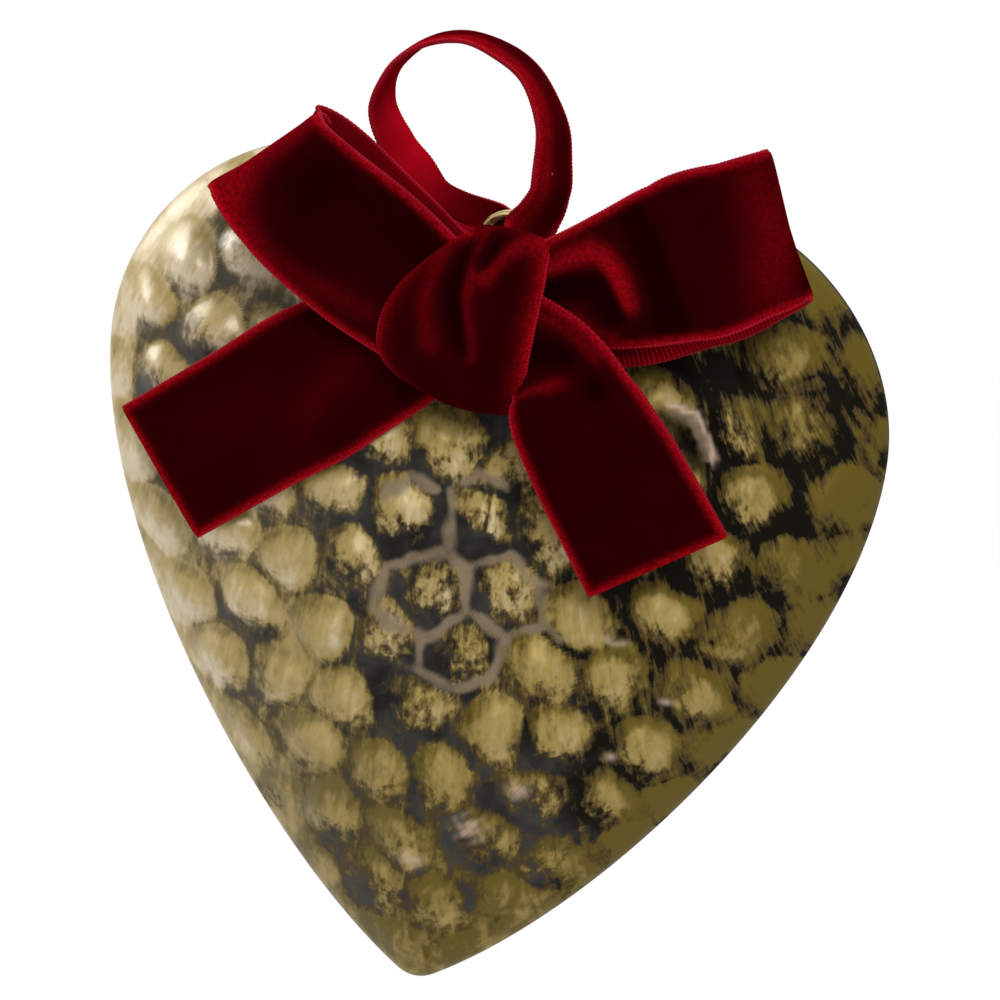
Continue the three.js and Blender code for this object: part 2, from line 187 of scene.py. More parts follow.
def catmull_rom(points: Array, t: Array, closed: bool = False) -> Array:
    """Centripetal curve through points, with the same share of t for each span.

    Each span is a cubic whose end slopes come from the two spans beside it, weighed by the roots of their
    lengths.

    Args:
        points: Rows of coordinates that the curve passes through.
        t: Places on the curve from 0 to 1.
        closed: Whether the curve returns to its first point.

    Returns:
        One row of coordinates for each place.
    """
    count = len(points)
    spans = count if closed else count - 1
    at = np.asarray(t, float) * spans
    i = np.minimum(at.astype(int), spans - 1)
    w = (at - i)[:, None]
    if closed:
        p0, p1, p2, p3 = (points[(i + k) % count] for k in (-1, 0, 1, 2))
    else:
        longer = np.vstack([2 * points[0] - points[1], points, 2 * points[-1] - points[-2]])
        p0, p1, p2, p3 = (longer[i + k] for k in range(4))
    step = [np.sqrt(np.linalg.norm(b - a, axis=1))[:, None] for a, b in ((p0, p1), (p1, p2), (p2, p3))]
    middle = np.where(step[1] < TINY, 1, step[1])
    before, after = (np.where(s < TINY, middle, s) for s in (step[0], step[2]))
    start = ((p1 - p0) / before - (p2 - p0) / (before + middle) + (p2 - p1) / middle) * middle
    end = ((p2 - p1) / middle - (p3 - p1) / (middle + after) + (p3 - p2) / after) * middle
    return p1 + start * w + (3 * (p2 - p1) - 2 * start - end) * w**2 + (2 * (p1 - p2) + start + end) * w**3


def path_lengths(path: Array) -> Array:
    """Length of a path up to each of its points."""
    return np.r_[0, np.cumsum(np.linalg.norm(np.diff(path, axis=0), axis=1))]


def directions(path: Array, closed: bool) -> Array:
    """Unit tangents of a path, from the points before and after each point.

    Args:
        path: Rows of the path's points.
        closed: Whether the path returns to its start.

    Returns:
        One unit row for each point.
    """
    along = np.roll(path, -1, 0) - np.roll(path, 1, 0) if closed else np.gradient(path, axis=0)
    return along / np.linalg.norm(along, axis=1)[:, None]


def ridge_height(u: Array, v: Array, path: tuple, height: float, width: float) -> Array:
    """Rounded ridge, or valley if height is negative, along a path of straight pieces.

    The height falls as a bell curve of the distance to the path's nearest piece.

    Args:
        u: First coordinate of the places.
        v: Second coordinate of the places.
        path: The path's corners.
        height: Height on the path itself.
        width: Distance at which the height has fallen to about a third.

    Returns:
        The height at each place.
    """
    nearest = np.full(np.shape(u), np.inf)
    for (ua, va), (ub, vb) in zip(path[:-1], path[1:]):
        du, dv = ub - ua, vb - va
        t = np.clip(((u - ua) * du + (v - va) * dv) / (du * du + dv * dv), 0, 1)
        nearest = np.minimum(nearest, (u - ua - t * du) ** 2 + (v - va - t * dv) ** 2)
    return height * np.exp(-nearest / width**2)


def tube(path: Array, radius: Array, sides: int, closed: bool = False) -> Surface:
    """Round tube along a path, with its ends drawn in to a small flat.

    Each point is the path's point plus the radius along a direction that turns once round the path's tangent.

    Args:
        path: Rows of the path's points.
        radius: Radius at each of them.
        sides: Points round the tube.
        closed: Whether the path returns to its start.

    Returns:
        The tube's surface.
    """
    along = directions(path, closed)
    aid = np.where(np.abs(along[:, 1:2]) < STEEP, [[0.0, 1.0, 0.0]], [[1.0, 0.0, 0.0]])
    first = np.cross(along, aid)
    first /= np.linalg.norm(first, axis=1)[:, None]
    second = np.cross(along, first)
    turn = np.arange(sides) / sides * 2 * math.pi
    ring = np.cos(turn)[None, :, None] * first[:, None] + np.sin(turn)[None, :, None] * second[:, None]
    points = path[:, None] + np.asarray(radius)[:, None, None] * ring
    if not closed:
        start, end = path[:1, None] + END_FLAT * ring[:1], path[-1:, None] + END_FLAT * ring[-1:]
        points = np.concatenate([start, points, end])
    rows = len(points)
    flat = points.reshape(-1, 3)
    faces = grid_faces(rows, sides, closed, True)
    if not closed:
        lid = lid_faces(np.arange(sides))
        faces = np.concatenate([faces, lid[:, ::-1], lid + (rows - 1) * sides])
    return Surface(flat, outward(flat, faces))


def make_piece(name: str, surface: Surface, place: Placement, materials: list[Material], body: Body) -> bpy.types.Object:
    """Make a Blender object from a surface and put it on its body.

    Args:
        name: Name of the piece.
        surface: Its mesh in numbers.
        place: Where the heart's frame lies.
        materials: Blender materials in the order of the surface's slots.
        body: Body that the piece rides on.

    Returns:
        The object, at the origin and unturned.
    """
    mesh = bpy.data.meshes.new(name)
    mesh.from_pydata(place.metres(surface.points).tolist(), [], surface.faces.tolist())
    for material in materials:
        mesh.materials.append(material)
    if surface.slots is not None:
        mesh.polygons.foreach_set("material_index", np.ascontiguousarray(surface.slots, dtype=np.int32))
    for label, values in surface.shades.items():
        layer = mesh.attributes.new(label, "FLOAT", "POINT")
        layer.data.foreach_set("value", np.ascontiguousarray(values, dtype=np.float32))
    if surface.uv is not None:
        corners = np.empty(len(mesh.loops), dtype=np.int32)
        mesh.loops.foreach_get("vertex_index", corners)
        mesh.uv_layers.new(name="Lay").data.foreach_set("uv", surface.uv[corners].astype(np.float32).ravel())
    mesh.shade_smooth()
    mesh.update()
    piece = bpy.data.objects.new(name, mesh)
    bpy.context.scene.collection.objects.link(piece)
    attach(piece, body.value)
    LOG.info("%s: %d points, %d faces", name, len(surface.points), len(surface.faces))
    return piece


# Node graphs


class Graph:
    """Short calls for building a node tree."""

    def __init__(self, tree: Tree) -> None:
        """Start on a tree."""
        self.tree = tree

    def node(self, kind: str, **values: Any) -> Node:
        """Add a node.

        Args:
            kind: Blender's name of the node type.
            **values: Properties of the node to set.

        Returns:
            The node.
        """
        made = self.tree.nodes.new(kind)
        for key, value in values.items():
            setattr(made, key, value)
        return made

    def feed(self, socket: Socket, value: Feed) -> None:
        """Link a socket to an input, or set the input to a plain value.

        Args:
            socket: The input.
            value: An output socket, a number or a row of numbers.
        """
        if isinstance(value, Socket):
            self.tree.links.new(value, socket)
        else:
            socket.default_value = value

    def dress(self, shader: Node, values: dict[str, Feed]) -> None:
        """Feed a shader's inputs.

        Args:
            shader: The shader.
            values: An output socket or a plain value for each named input.
        """
        for label, value in values.items():
            self.feed(shader.inputs[label], value)

    def math(self, operation: str, a: Feed, b: Feed = 0.0, clamp: bool = False) -> Socket:
        """Add a math node.

        Args:
            operation: Its operation.
            a: First input.
            b: Second input.
            clamp: Whether the result is kept from 0 to 1.

        Returns:
            The result's socket.
        """
        made = self.node("ShaderNodeMath", operation=operation, use_clamp=clamp)
        self.feed(made.inputs[0], a)
        self.feed(made.inputs[1], b)
        return made.outputs[0]

    def plus(self, total: Feed, *parts: tuple[Feed, Feed]) -> Socket:
        """Add weighted values to a value, one after the other.

        Args:
            total: The value to start from.
            *parts: Pairs of a value and its weight.

        Returns:
            The sum's socket.
        """
        for part, weight in parts:
            total = self.math("ADD", total, self.math("MULTIPLY", part, weight))
        return total

    def spread(self, value: Feed, low: float, high: float, to_low: float = 0.0,
               to_high: float = 1.0) -> Socket:
        """Map a range smoothly to another.

        Args:
            value: The value's socket.
            low: Start of its range.
            high: End of its range.
            to_low: Result at the start.
            to_high: Result at the end.

        Returns:
            The result's socket.
        """
        made = self.node("ShaderNodeMapRange", interpolation_type="SMOOTHSTEP")
        for index, number in enumerate((value, low, high, to_low, to_high)):
            self.feed(made.inputs[index], number)
        return made.outputs[0]

    def mix(self, share: Feed, a: Feed, b: Feed) -> Socket:
        """Mix two colours, whose sockets come after those for numbers and vectors.

        Args:
            share: Share of the second.
            a: First colour.
            b: Second colour.

        Returns:
            The colour's socket.
        """
        made = self.node("ShaderNodeMix", data_type="RGBA")
        for index, value in ((0, share), (6, a), (7, b)):
            self.feed(made.inputs[index], value)
        return made.outputs[2]

    def noise(self, vector: Socket, scale: float, detail: float = 2.0, roughness: float = 0.5,
              warp: float = 0.0) -> Socket:
        """Add a noise texture.

        Args:
            vector: Its coordinates.
            scale: Features per unit of the coordinates.
            detail: Octaves.
            roughness: Weight of the finer octaves.
            warp: Distortion.

        Returns:
            The noise's socket.
        """
        made = self.node("ShaderNodeTexNoise")
        self.dress(made, {"Vector": vector, "Scale": scale, "Detail": detail, "Roughness": roughness,
                          "Distortion": warp})
        return made.outputs["Fac"]

    def swing(self, vector: Socket, *numbers: float) -> Socket:
        """Add a noise texture with the given numbers, less a half, so that it swings about 0."""
        return self.math("SUBTRACT", self.noise(vector, *numbers), 0.5)

    def stretched(self, vector: Socket, scale: tuple[float, float, float]) -> Socket:
        """Scale coordinates.

        Args:
            vector: The coordinates.
            scale: Factor for each of them.

        Returns:
            The scaled coordinates' socket.
        """
        made = self.node("ShaderNodeVectorMath", operation="MULTIPLY")
        self.feed(made.inputs[0], vector)
        self.feed(made.inputs[1], scale)
        return made.outputs[0]

    def here(self) -> Socket:
        """Coordinates of the piece's own mesh, in metres."""
        return self.node("ShaderNodeTexCoord").outputs["Object"]

    def lay(self) -> Socket:
        """Coordinates of the mesh's own lay, such as along and across a ribbon."""
        return self.node("ShaderNodeUVMap", uv_map="Lay").outputs[0]

    def shade(self, label: str) -> Socket:
        """Named value of the mesh."""
        return self.node("ShaderNodeAttribute", attribute_name=label).outputs["Fac"]

    def group(self, tree: Tree) -> bpy.types.NodeOutputs:
        """Outputs of a new node of a shared group."""
        return self.node("ShaderNodeGroup", node_tree=tree).outputs

    def bump(self, height: Socket, distance: float, strength: float) -> Socket:
        """Turn a height into a normal.

        Args:
            height: The height's socket.
            distance: Height in metres of the value 1.
            strength: Share of the effect.

        Returns:
            The normal's socket.
        """
        made = self.node("ShaderNodeBump")
        self.dress(made, {"Strength": strength, "Distance": distance, "Height": height})
        return made.outputs[0]


def new_group(name: str, outputs: list[str]) -> tuple[Tree, Graph, Node]:
    """Start a node group that gives numbers.

    Args:
        name: Name of the group.
        outputs: Names of the numbers that it gives.

    Returns:
        The tree, its graph and its output node.
    """
    tree = bpy.data.node_groups.new(name, "ShaderNodeTree")
    for label in outputs:
        tree.interface.new_socket(label, in_out="OUTPUT", socket_type="NodeSocketFloat")
    graph = Graph(tree)
    return tree, graph, graph.node("NodeGroupOutput")


def new_material(name: str) -> tuple[Material, Graph, Node]:
    """Start a material.

    Args:
        name: Name of the material.

    Returns:
        The material, its graph and its main shader.
    """
    material = bpy.data.materials.new(name)
    material.use_nodes = True
    graph = Graph(material.node_tree)
    return material, graph, material.node_tree.nodes["Principled BSDF"]


# Finishes


@dataclass(frozen=True)
class AntiqueGold:
    """Gold paint dragged down over a dark patina with a dry brush.

    The paint holds on the bumps and misses their undersides, which also take a painted shade. The shells'
    values bring in painted highlight, reflection and shade as well. A band is the range of a value over
    which one colour takes the place of another.
    """

    patina: tuple = (0.0045, 0.0040, 0.0022, 1)
    slate: tuple = (0.047, 0.047, 0.046, 1)
    brown: tuple = (0.050, 0.034, 0.012, 1)
    olive: tuple = (0.100, 0.072, 0.011, 1)
    gold: tuple = (0.28, 0.207, 0.068, 1)
    pale: tuple = (0.47, 0.385, 0.25, 1)
    ridge: tuple = (0.178, 0.134, 0.088, 1)
    raw: tuple = (0.48, 0.36, 0.27, 1)
    slate_band: tuple = (0.1, 0.9)
    brown_band: tuple = (0.06, 0.34)
    paint_band: tuple = (0.22, 0.7)
    gold_band: tuple = (0.0, 0.7)
    pale_band: tuple = (0.6, 1.4)
    worn_band: tuple = (0.2, 0.95)
    streak_width: float = 0.8
    streak_length: float = 5.0
    relief: float = 0.0001

    def streaks(self) -> Tree:
        """Make the group of brush streaks on the coordinates of the brush's fan.

        Returns:
            The group, which gives coarse and fine streaks about 0.
        """
        tree, graph, out = new_group("brush_streaks", ["Coarse", "Fine"])
        lay = graph.lay()
        coarse = graph.stretched(lay, (1 / self.streak_width, 1 / self.streak_length, 1))
        fine = graph.stretched(lay, (3 / self.streak_width, 1.6 / self.streak_length, 1))
        graph.dress(out, {"Coarse": graph.swing(coarse, 0.7, 3, 0.6, 0.4),
                          "Fine": graph.swing(fine, 0.8, 2, 0.6)})
        return tree

    def make(self) -> Material:
        """Make the material.

        Returns:
            The material, which reads the shell's named values.
        """
        material, graph, shader = new_material("antique_gold")
        here = graph.here()
        streak = graph.group(self.streaks())
        paint, drag, paint_tone_and_light, mottle, cool, gloss, ridge, raw, dark = (
            graph.shade(label) for label in HeartShells.shade_names)
        blotch = graph.swing(here, 130, 4, 0.6, 0.3)
        stain = graph.swing(graph.stretched(here, (1, 1, 0.55)), 300, 4, 0.65, 0.5)
        speck = graph.swing(graph.stretched(here, (1, 1, 0.7)), 900, 3, 0.6, 0.3)
        wide = graph.swing(here, 38, 2)
        strokes = graph.plus(0.0, (streak["Coarse"], 1.5), (streak["Fine"], 0.7))
        grit = graph.plus(stain, (speck, 0.6))
        held = graph.plus(paint, (strokes, drag), (blotch, 1.4), (grit, mottle), (wide, 1.1))
        # Painted highlight, reflection and shade come in here along with the paint's own paleness; pale is
        # the top of the range.
        paint_tone_and_light = graph.plus(paint_tone_and_light, (blotch, 0.6), (stain, 1.0), (speck, 0.5), (streak["Coarse"], 0.9))
        gold = graph.mix(graph.spread(paint_tone_and_light, *self.gold_band), self.olive, self.gold)
        gold = graph.mix(graph.spread(paint_tone_and_light, *self.pale_band), gold, self.pale)
        cool = graph.plus(cool, (blotch, 1.2))
        worn = graph.spread(graph.plus(ridge, (stain, 0.7)), *self.worn_band)
        worn = graph.math("MULTIPLY", worn, graph.spread(blotch, -0.2, 0.0, 0.55, 0.9), clamp=True)
        colour = self.patina
        for share, coat in ((graph.spread(cool, *self.slate_band), self.slate),
                            (graph.spread(held, *self.brown_band), self.brown),
                            (graph.spread(held, *self.paint_band), gold),
                            (worn, self.ridge), (raw, self.raw), (dark, self.patina)):
            colour = graph.mix(share, colour, coat)
        marked = graph.math("MAXIMUM", worn, graph.math("MAXIMUM", raw, dark))
        clean = graph.math("SUBTRACT", 1.0, marked)
        shine = graph.math("MULTIPLY", graph.spread(held, 0.3, 0.8), clean, clamp=True)
        height = graph.plus(graph.spread(held, 0.2, 0.7, 0, 0.5), (streak["Fine"], 0.6),
                            (graph.noise(here, 420, 3, 0.6), 1.0))
        graph.dress(shader, {
            "Base Color": colour, "Specular IOR Level": 0.03, "Coat Roughness": 0.3,
            "Metallic": graph.spread(shine, 0, 1, 0.0, 0.12),
            "Coat Weight": graph.math("MULTIPLY", gloss, graph.spread(shine, 0, 1, 0.5, 1.0)),
            "Roughness": graph.plus(graph.spread(shine, 0, 1, 0.62, 0.42), (streak["Fine"], 0.15)),
            "Normal": graph.bump(height, self.relief, 0.45)})
        return material


def cloth_wear() -> Tree:
    """Make the group that all velvet and satin faces share.

    Returns:
        The group, which gives the brushed lay of the pile, its grain and a few specks of lint.
    """
    tree, graph, out = new_group("cloth_wear", ["Lay", "Grain", "Lint"])
    here = graph.here()
    cells = graph.node("ShaderNodeTexVoronoi")
    graph.dress(cells, {"Vector": here, "Scale": 240})
    near = graph.spread(cells.outputs["Distance"], 0.03, 0.08, 0.8, 0.0)
    parts = graph.node("ShaderNodeSeparateColor")
    graph.feed(parts.inputs[0], cells.outputs["Color"])
    few = graph.spread(parts.outputs[0], 0.9, 0.94)
    graph.dress(out, {"Lay": graph.noise(here, 110, 3, 0.6, 0.6), "Grain": graph.noise(here, 2000, 3, 0.65),
                      "Lint": graph.math("MULTIPLY", near, few)})
    return tree


@dataclass(frozen=True)
class Velvet:
    """Dark red pile, with painted sheen on its edges, on the ridges of its folds and in patches, and painted
    shade in the valleys.
    """

    deep: tuple = (0.008, 0.0001, 0.0004, 1)
    body: tuple = (0.026, 0.0003, 0.0011, 1)
    # glow is the colour of the painted sheen.
    glow: tuple = (0.32, 0.002, 0.007, 1)
    lint: tuple = (0.55, 0.36, 0.33, 1)
    tint: tuple = (0.9, 0.006, 0.02, 1)
    nap: float = 0.00025

    def make(self, wear: Tree) -> Material:
        """Make the pile's material.

        Args:
            wear: The group that cloth faces share.

        Returns:
            The material.
        """
        material, graph, shader = new_material("velvet_pile")
        cloth = graph.group(wear)
        # This value is painted sheen on the ridges of folds and painted shade in their valleys; the edge
        # value is painted sheen along the edges.
        fold_sheen_and_shade = graph.shade("fold_sheen_and_shade")
        lay = graph.plus(graph.spread(cloth["Lay"], 0.3, 0.8, 0.1, 0.45), (fold_sheen_and_shade, 0.75))
        colour = graph.mix(graph.math("ADD", lay, 0.12, clamp=True), self.deep, self.body)
        bright = graph.plus(graph.spread(fold_sheen_and_shade, 0.25, 2.0, 0, 0.6), (graph.shade("edge"), 0.62))
        grain = graph.spread(cloth["Grain"], 0.3, 0.7, 0.5, 1.3)
        colour = graph.mix(graph.math("MULTIPLY", bright, grain, clamp=True), colour, self.glow)
        graph.dress(shader, {
            "Base Color": graph.mix(cloth["Lint"], colour, self.lint), "Roughness": 0.95,
            "Specular IOR Level": 0.0, "Sheen Weight": 0.12, "Sheen Roughness": 0.3, "Sheen Tint": self.tint,
            "Normal": graph.bump(cloth["Grain"], self.nap, 0.5)})
        return material


@dataclass(frozen=True)
class RibbedSatin:
    """Woven back of the ribbon, with ribs across its width."""

    deep: tuple = (0.03, 0.0003, 0.0012, 1)
    dark: tuple = (0.09, 0.0006, 0.003, 1)
    light: tuple = (0.38, 0.002, 0.009, 1)
    plain: float = 0.7
    rib_rise: float = 0.00008

    def make(self, wear: Tree) -> Material:
        """Make the satin's material.

        A rib is a sine along the ribbon, and it fades to a plain level where the ribs are pressed flat. Each
        rib's crest is lighter, a painted highlight. The back takes a painted shade where the ribbon is
        gathered and darkens by its dim level.

        Args:
            wear: The group that cloth faces share.

        Returns:
            The material, on coordinates along and across the ribbon.
        """
        material, graph, shader = new_material("ribbed_satin")
        cloth = graph.group(wear)
        lay = graph.node("ShaderNodeSeparateXYZ")
        graph.feed(lay.inputs[0], graph.lay())
        rib = graph.math("SINE", graph.math("MULTIPLY", lay.outputs[0], 2 * math.pi / RIB_PITCH))
        swell = graph.math("SUBTRACT", graph.spread(rib, -1, 1), self.plain)
        rib = graph.plus(self.plain, (swell, graph.shade("ribs")))
        # Lighter on each rib's crest: a painted highlight.
        share = graph.math("MULTIPLY", rib, graph.spread(cloth["Lay"], 0.25, 0.75, 0.6, 1.0))
        colour = graph.mix(share, self.dark, self.light)
        # Painted shade where the ribbon is gathered, and the back's dim level, darken it towards deep.
        graph.dress(shader, {
            "Base Color": graph.mix(graph.shade("gather_shade_and_dim"), colour, self.deep), "Roughness": 0.7,
            "Specular IOR Level": 0.0, "Normal": graph.bump(rib, self.rib_rise, 0.7)})
        return material


@dataclass(frozen=True)
class Selvage:
    """Twisted edge thread of the ribbon, a brighter red than the pile."""

    dark: tuple = (0.10, 0.0006, 0.003, 1)
    light: tuple = (0.30, 0.003, 0.013, 1)
    tint: tuple = (0.9, 0.03, 0.05, 1)
    grain: float = 0.0001

    def make(self, wear: Tree) -> Material:
        """Make the thread's material.

        Args:
            wear: The group that cloth faces share.

        Returns:
            The material.
        """
        material, graph, shader = new_material("selvage_thread")
        cloth = graph.group(wear)
        # Lighter on each bead's crest: a painted highlight.
        bead = graph.spread(graph.shade("bead"), 0, 1, 0.35, 0.9)
        share = graph.math("MULTIPLY", bead, graph.spread(cloth["Lay"], 0.2, 0.8, 0.4, 1.0))
        graph.dress(shader, {
            "Base Color": graph.mix(share, self.dark, self.light), "Roughness": 0.7,
            "Specular IOR Level": 0.04, "Sheen Weight": 0.2, "Sheen Tint": self.tint,
            "Normal": graph.bump(cloth["Grain"], self.grain, 0.5)})
        return material


@dataclass(frozen=True)
class DrawnWire:
    """Bare metal with drawing marks and a little tarnish."""

    name: str
    bright: tuple
    dull: tuple
    roughness: float
    marks: float = 0.00003

    def make(self) -> Material:
        """Make the wire's material.

        Returns:
            The material.
        """
        material, graph, shader = new_material(self.name)
        here = graph.here()
        tarnish = graph.noise(here, 380, 3, 0.6)
        graph.dress(shader, {
            "Base Color": graph.mix(graph.spread(tarnish, 0.4, 0.7), self.bright, self.dull), "Metallic": 1.0,
            "Roughness": graph.spread(tarnish, 0.3, 0.7, self.roughness, self.roughness + 0.2),
            "Normal": graph.bump(graph.noise(here, 3000, 2), self.marks, 0.5)})
        return material


@dataclass(frozen=True)
class Stock:
    """Where the ornament stands and the finishes that its pieces are made of."""

    place: Placement
    gold: Material
    brass: Material
    cloth: list[Material]
    thread: Material


# Heart


@dataclass(frozen=True)
class HeartShells:
    """Two pressed shells with staggered bumps, which meet at a seam round the heart.

    Pulls are the lengths of the handles of the outline's curves. ridges, torn_edge, leaf, leaf_shade and
    pit_lip are paths on the front as x and height, pit is a place with a radius, and specks are such places.
    """

    shade_names = ("paint", "drag", "paint_tone_and_light", "mottle", "cool", "gloss", "ridge", "raw", "dark")
    width: float = 120.0
    height: float = 127.0
    shoulder: float = 93.5
    lobe_peak: float = 28.5
    cleft: float = 106.0
    cleft_angle: float = math.radians(40)
    tip_radius: float = 5.0
    tip_angle: float = math.radians(57.5)
    cleft_pull: float = 7.0
    peak_pulls: tuple = (10.0, 15.0)
    shoulder_pulls: tuple = (18.5, 31.5)
    tip_pull: float = 29.0
    crown: float = 79.0
    depth: float = 16.0
    half_gap: float = 0.15
    wall: float = 0.6
    fullness: float = 2.3
    roundness: float = 0.6
    bump_rise: float = 2.0
    bump_diameter: float = 9.8
    spot_diameter: float = 11.0
    slimness: float = 1.1
    bump_pitch: float = 11.3
    row_pitch: float = 10.3
    bump_rows: range = range(-6, 8)
    bump_columns: range = range(-7, 7)
    drift: float = 1.1
    waver: float = 0.8
    bump_offset: float = 3.8
    bump_height: float = 57.4
    plain_margin: float = 2.0
    full_margin: float = 9.0
    edge_band: tuple = (2.0, 8.0)
    nick_width: float = 0.9
    cells: int = 288
    lining_rings: int = 5
    crowding: float = 1.4
    curve_samples: int = 400
    arc_samples: int = 60
    half_samples: int = 2000
    rim_samples: int = 240
    brush_from: tuple = (-10.0, 200.0)
    brush_fan: float = 120.0
    ridge_rise: float = 0.25
    ridge_width: float = 1.1
    ridges: tuple = (
        ((3.5, 71.5), (9.9, 74.4), (14.6, 70.5), (16.3, 64.8), (10.4, 61.9), (4.2, 64.8), (3.5, 71.5)),
        ((-0.1, 82.3), (0.7, 73.1), (3.5, 71.5)), ((0.7, 73.1), (-4.7, 70.9), (-8.3, 68.9)),
        ((-8.3, 68.9), (-9.6, 65.5), (-9.4, 62.6), (-7.2, 60.8), (-2.7, 60.3), (-1.7, 58.6)),
        ((4.2, 64.8), (1.1, 61.2), (-1.7, 58.6), (-2.5, 54.8), (-0.7, 53.4), (3.6, 52.5), (8.2, 54.7)),
        ((10.4, 61.9), (10.1, 57.7), (8.2, 54.7)), ((16.3, 64.8), (18.8, 63.2)),
        ((-9.6, 80.2), (-6.3, 83.3), (-3.0, 82.3)), ((1.3, 84.0), (3.8, 85.8), (7.6, 84.6)))
    torn_edge: tuple = (
        (29.6, 100.4), (31.6, 100.1), (33.8, 99.2), (35.0, 97.4), (36.1, 95.5), (36.7, 93.8), (36.8, 92.7))
    leaf: tuple = ((31.2, 99.6), (33.2, 98.2), (34.5, 96.2), (36.0, 93.6))
    leaf_shade: tuple = ((28.5, 98.7), (30.8, 97.0), (32.6, 94.6), (34.6, 91.8))
    pit: tuple = (26.9, 65.2, 0.8)
    pit_lip: tuple = ((24.9, 64.3), (26.1, 63.4), (27.7, 63.7))
    specks: tuple = (
        (34.6, 55.3, 0.6), (27.6, 45.2, 0.6), (14.8, 37.8, 1.0), (8.2, 30.1, 1.4), (-0.3, 23.1, 1.1))

    def half_outline(self) -> Array:
        """Right half of the outline, from the cleft over the lobe and down to the tip.

        Three cubic curves with the part's own control points, and an arc round the tip.

        Returns:
            Rows of x and z at even steps of length.
        """
        t = np.linspace(0, 1, self.curve_samples)[:, None]
        edge, peak = self.width / 2, self.lobe_peak
        rise_sine, rise_cosine = math.sin(self.tip_angle), math.cos(self.tip_angle)
        across, rise = self.tip_radius * rise_cosine, self.tip_radius * (1 - rise_sine)
        curves = (
            ((0, self.cleft), (self.cleft_pull * math.sin(self.cleft_angle),
                               self.cleft + self.cleft_pull * math.cos(self.cleft_angle)),
             (peak - self.peak_pulls[0], self.height), (peak, self.height)),
            ((peak, self.height), (peak + self.peak_pulls[1], self.height),
             (edge, self.shoulder + self.shoulder_pulls[0]), (edge, self.shoulder)),
            ((edge, self.shoulder), (edge, self.shoulder - self.shoulder_pulls[1]),
             (across + self.tip_pull * rise_sine, rise + self.tip_pull * rise_cosine), (across, rise)),
        )
        parts = []
        for curve in curves:
            a, b, c, d = np.array(curve, float)
            parts.append(a * (1 - t) ** 3 + 3 * b * t * (1 - t) ** 2 + 3 * c * t**2 * (1 - t) + d * t**3)
        turn = np.linspace(self.tip_angle, math.pi / 2, self.arc_samples)[:, None]
        parts.append(np.hstack([self.tip_radius * np.cos(turn), self.tip_radius * (1 - np.sin(turn))]))
        line = np.concatenate(parts)
        line = line[np.r_[True, np.linalg.norm(np.diff(line, axis=0), axis=1) > 1e-9]]
        length = path_lengths(line)
        even = np.linspace(0, length[-1], self.half_samples)
        return np.stack([np.interp(even, length, line[:, 0]), np.interp(even, length, line[:, 1])], -1)

    def rim(self, share: Array) -> Array:
        """Points of the outline, clockwise from the cleft.

        Args:
            share: Shares of the outline's length from 0 to 1.

        Returns:
            Rows of x and z.
        """
        half = self.half_outline()
        along = np.where(share <= 0.5, 2 * share, 2 - 2 * share) * (len(half) - 1)
        index = np.arange(len(half))
        side = np.where(share <= 0.5, 1.0, -1.0)
        return np.stack([side * np.interp(along, index, half[:, 0]), np.interp(along, index, half[:, 1])], -1)

    def bumps(self, x: Array, z: Array) -> Fields:
        """Place of each point among the bumps.

        The centres stand in staggered rows and drift by sines of their row and column.

        Args:
            x: Places out from the middle line.
            z: Heights above the tip.

        Returns:
            Distance near to the nearest centre, its offset as dx and dz, the distance border to the border
            with the next bump, and a chance value of the nearest bump.
        """
        best = [np.full(x.shape, v) for v in (FAR, 0.0, 0.0, 0.0)]
        second = np.full(x.shape, FAR)
        for row in self.bump_rows:
            for col in self.bump_columns:
                cx = self.bump_offset + (col + abs(row % 2) / 2) * self.bump_pitch
                cx += self.drift * math.sin(2.1 * col + 3.7 * row)
                cz = self.bump_height + self.row_pitch * row + self.drift * math.sin(-2.9 * col + 1.7 * row)
                away = np.hypot(x - cx, z - cz)
                nearer = away < best[0]
                second = np.where(nearer, best[0], np.minimum(second, away))
                here = (away, cx, cz, (math.sin(12.9898 * col + 78.233 * row) * 43758.5453) % 1)
                best = [np.where(nearer, h, b) for h, b in zip(here, best)]
        near, cx, cz, chance = best
        return {"near": near, "border": (second - near) / 2, "dx": x - cx, "dz": z - cz, "chance": chance}

    def embossing(self, x: Array, z: Array) -> Fields:
        """Bumps with their relief and the spot of paint on each.

        Both start at 1 over the bump's centre and fall by a share of s squared and a share of c squared. Here
        s is the share of the radius in an ellipse that is turned by chance, and c is the share of the way to
        the border with the next bump. The relief is that to the power 1.4. Sines bend the field, so that its
        rows waver.

        Args:
            x: Places out from the middle line.
            z: Heights above the tip.

        Returns:
            The place among the bumps, with relief and spot added.
        """
        bump = self.bumps(x + self.waver * np.sin(0.31 * z + 1.7 * np.sin(0.17 * x)),
                          z + self.waver * np.sin(0.29 * x + 1.3 * np.sin(0.19 * z) + 2))
        turn = np.exp(1j * math.pi * bump["chance"]) * (bump["dx"] + 1j * bump["dz"])
        reach = ((turn.real * self.slimness) ** 2 + (turn.imag / self.slimness) ** 2) * 4
        cell = (bump["near"] / (bump["near"] + bump["border"])) ** 2
        bump["relief"] = np.maximum(0, 1 - 0.5 * reach / self.bump_diameter**2 - 0.55 * cell) ** 1.4
        bump["spot"] = np.maximum(0, 1 - 0.45 * reach / self.spot_diameter**2 - 0.5 * cell)
        return bump

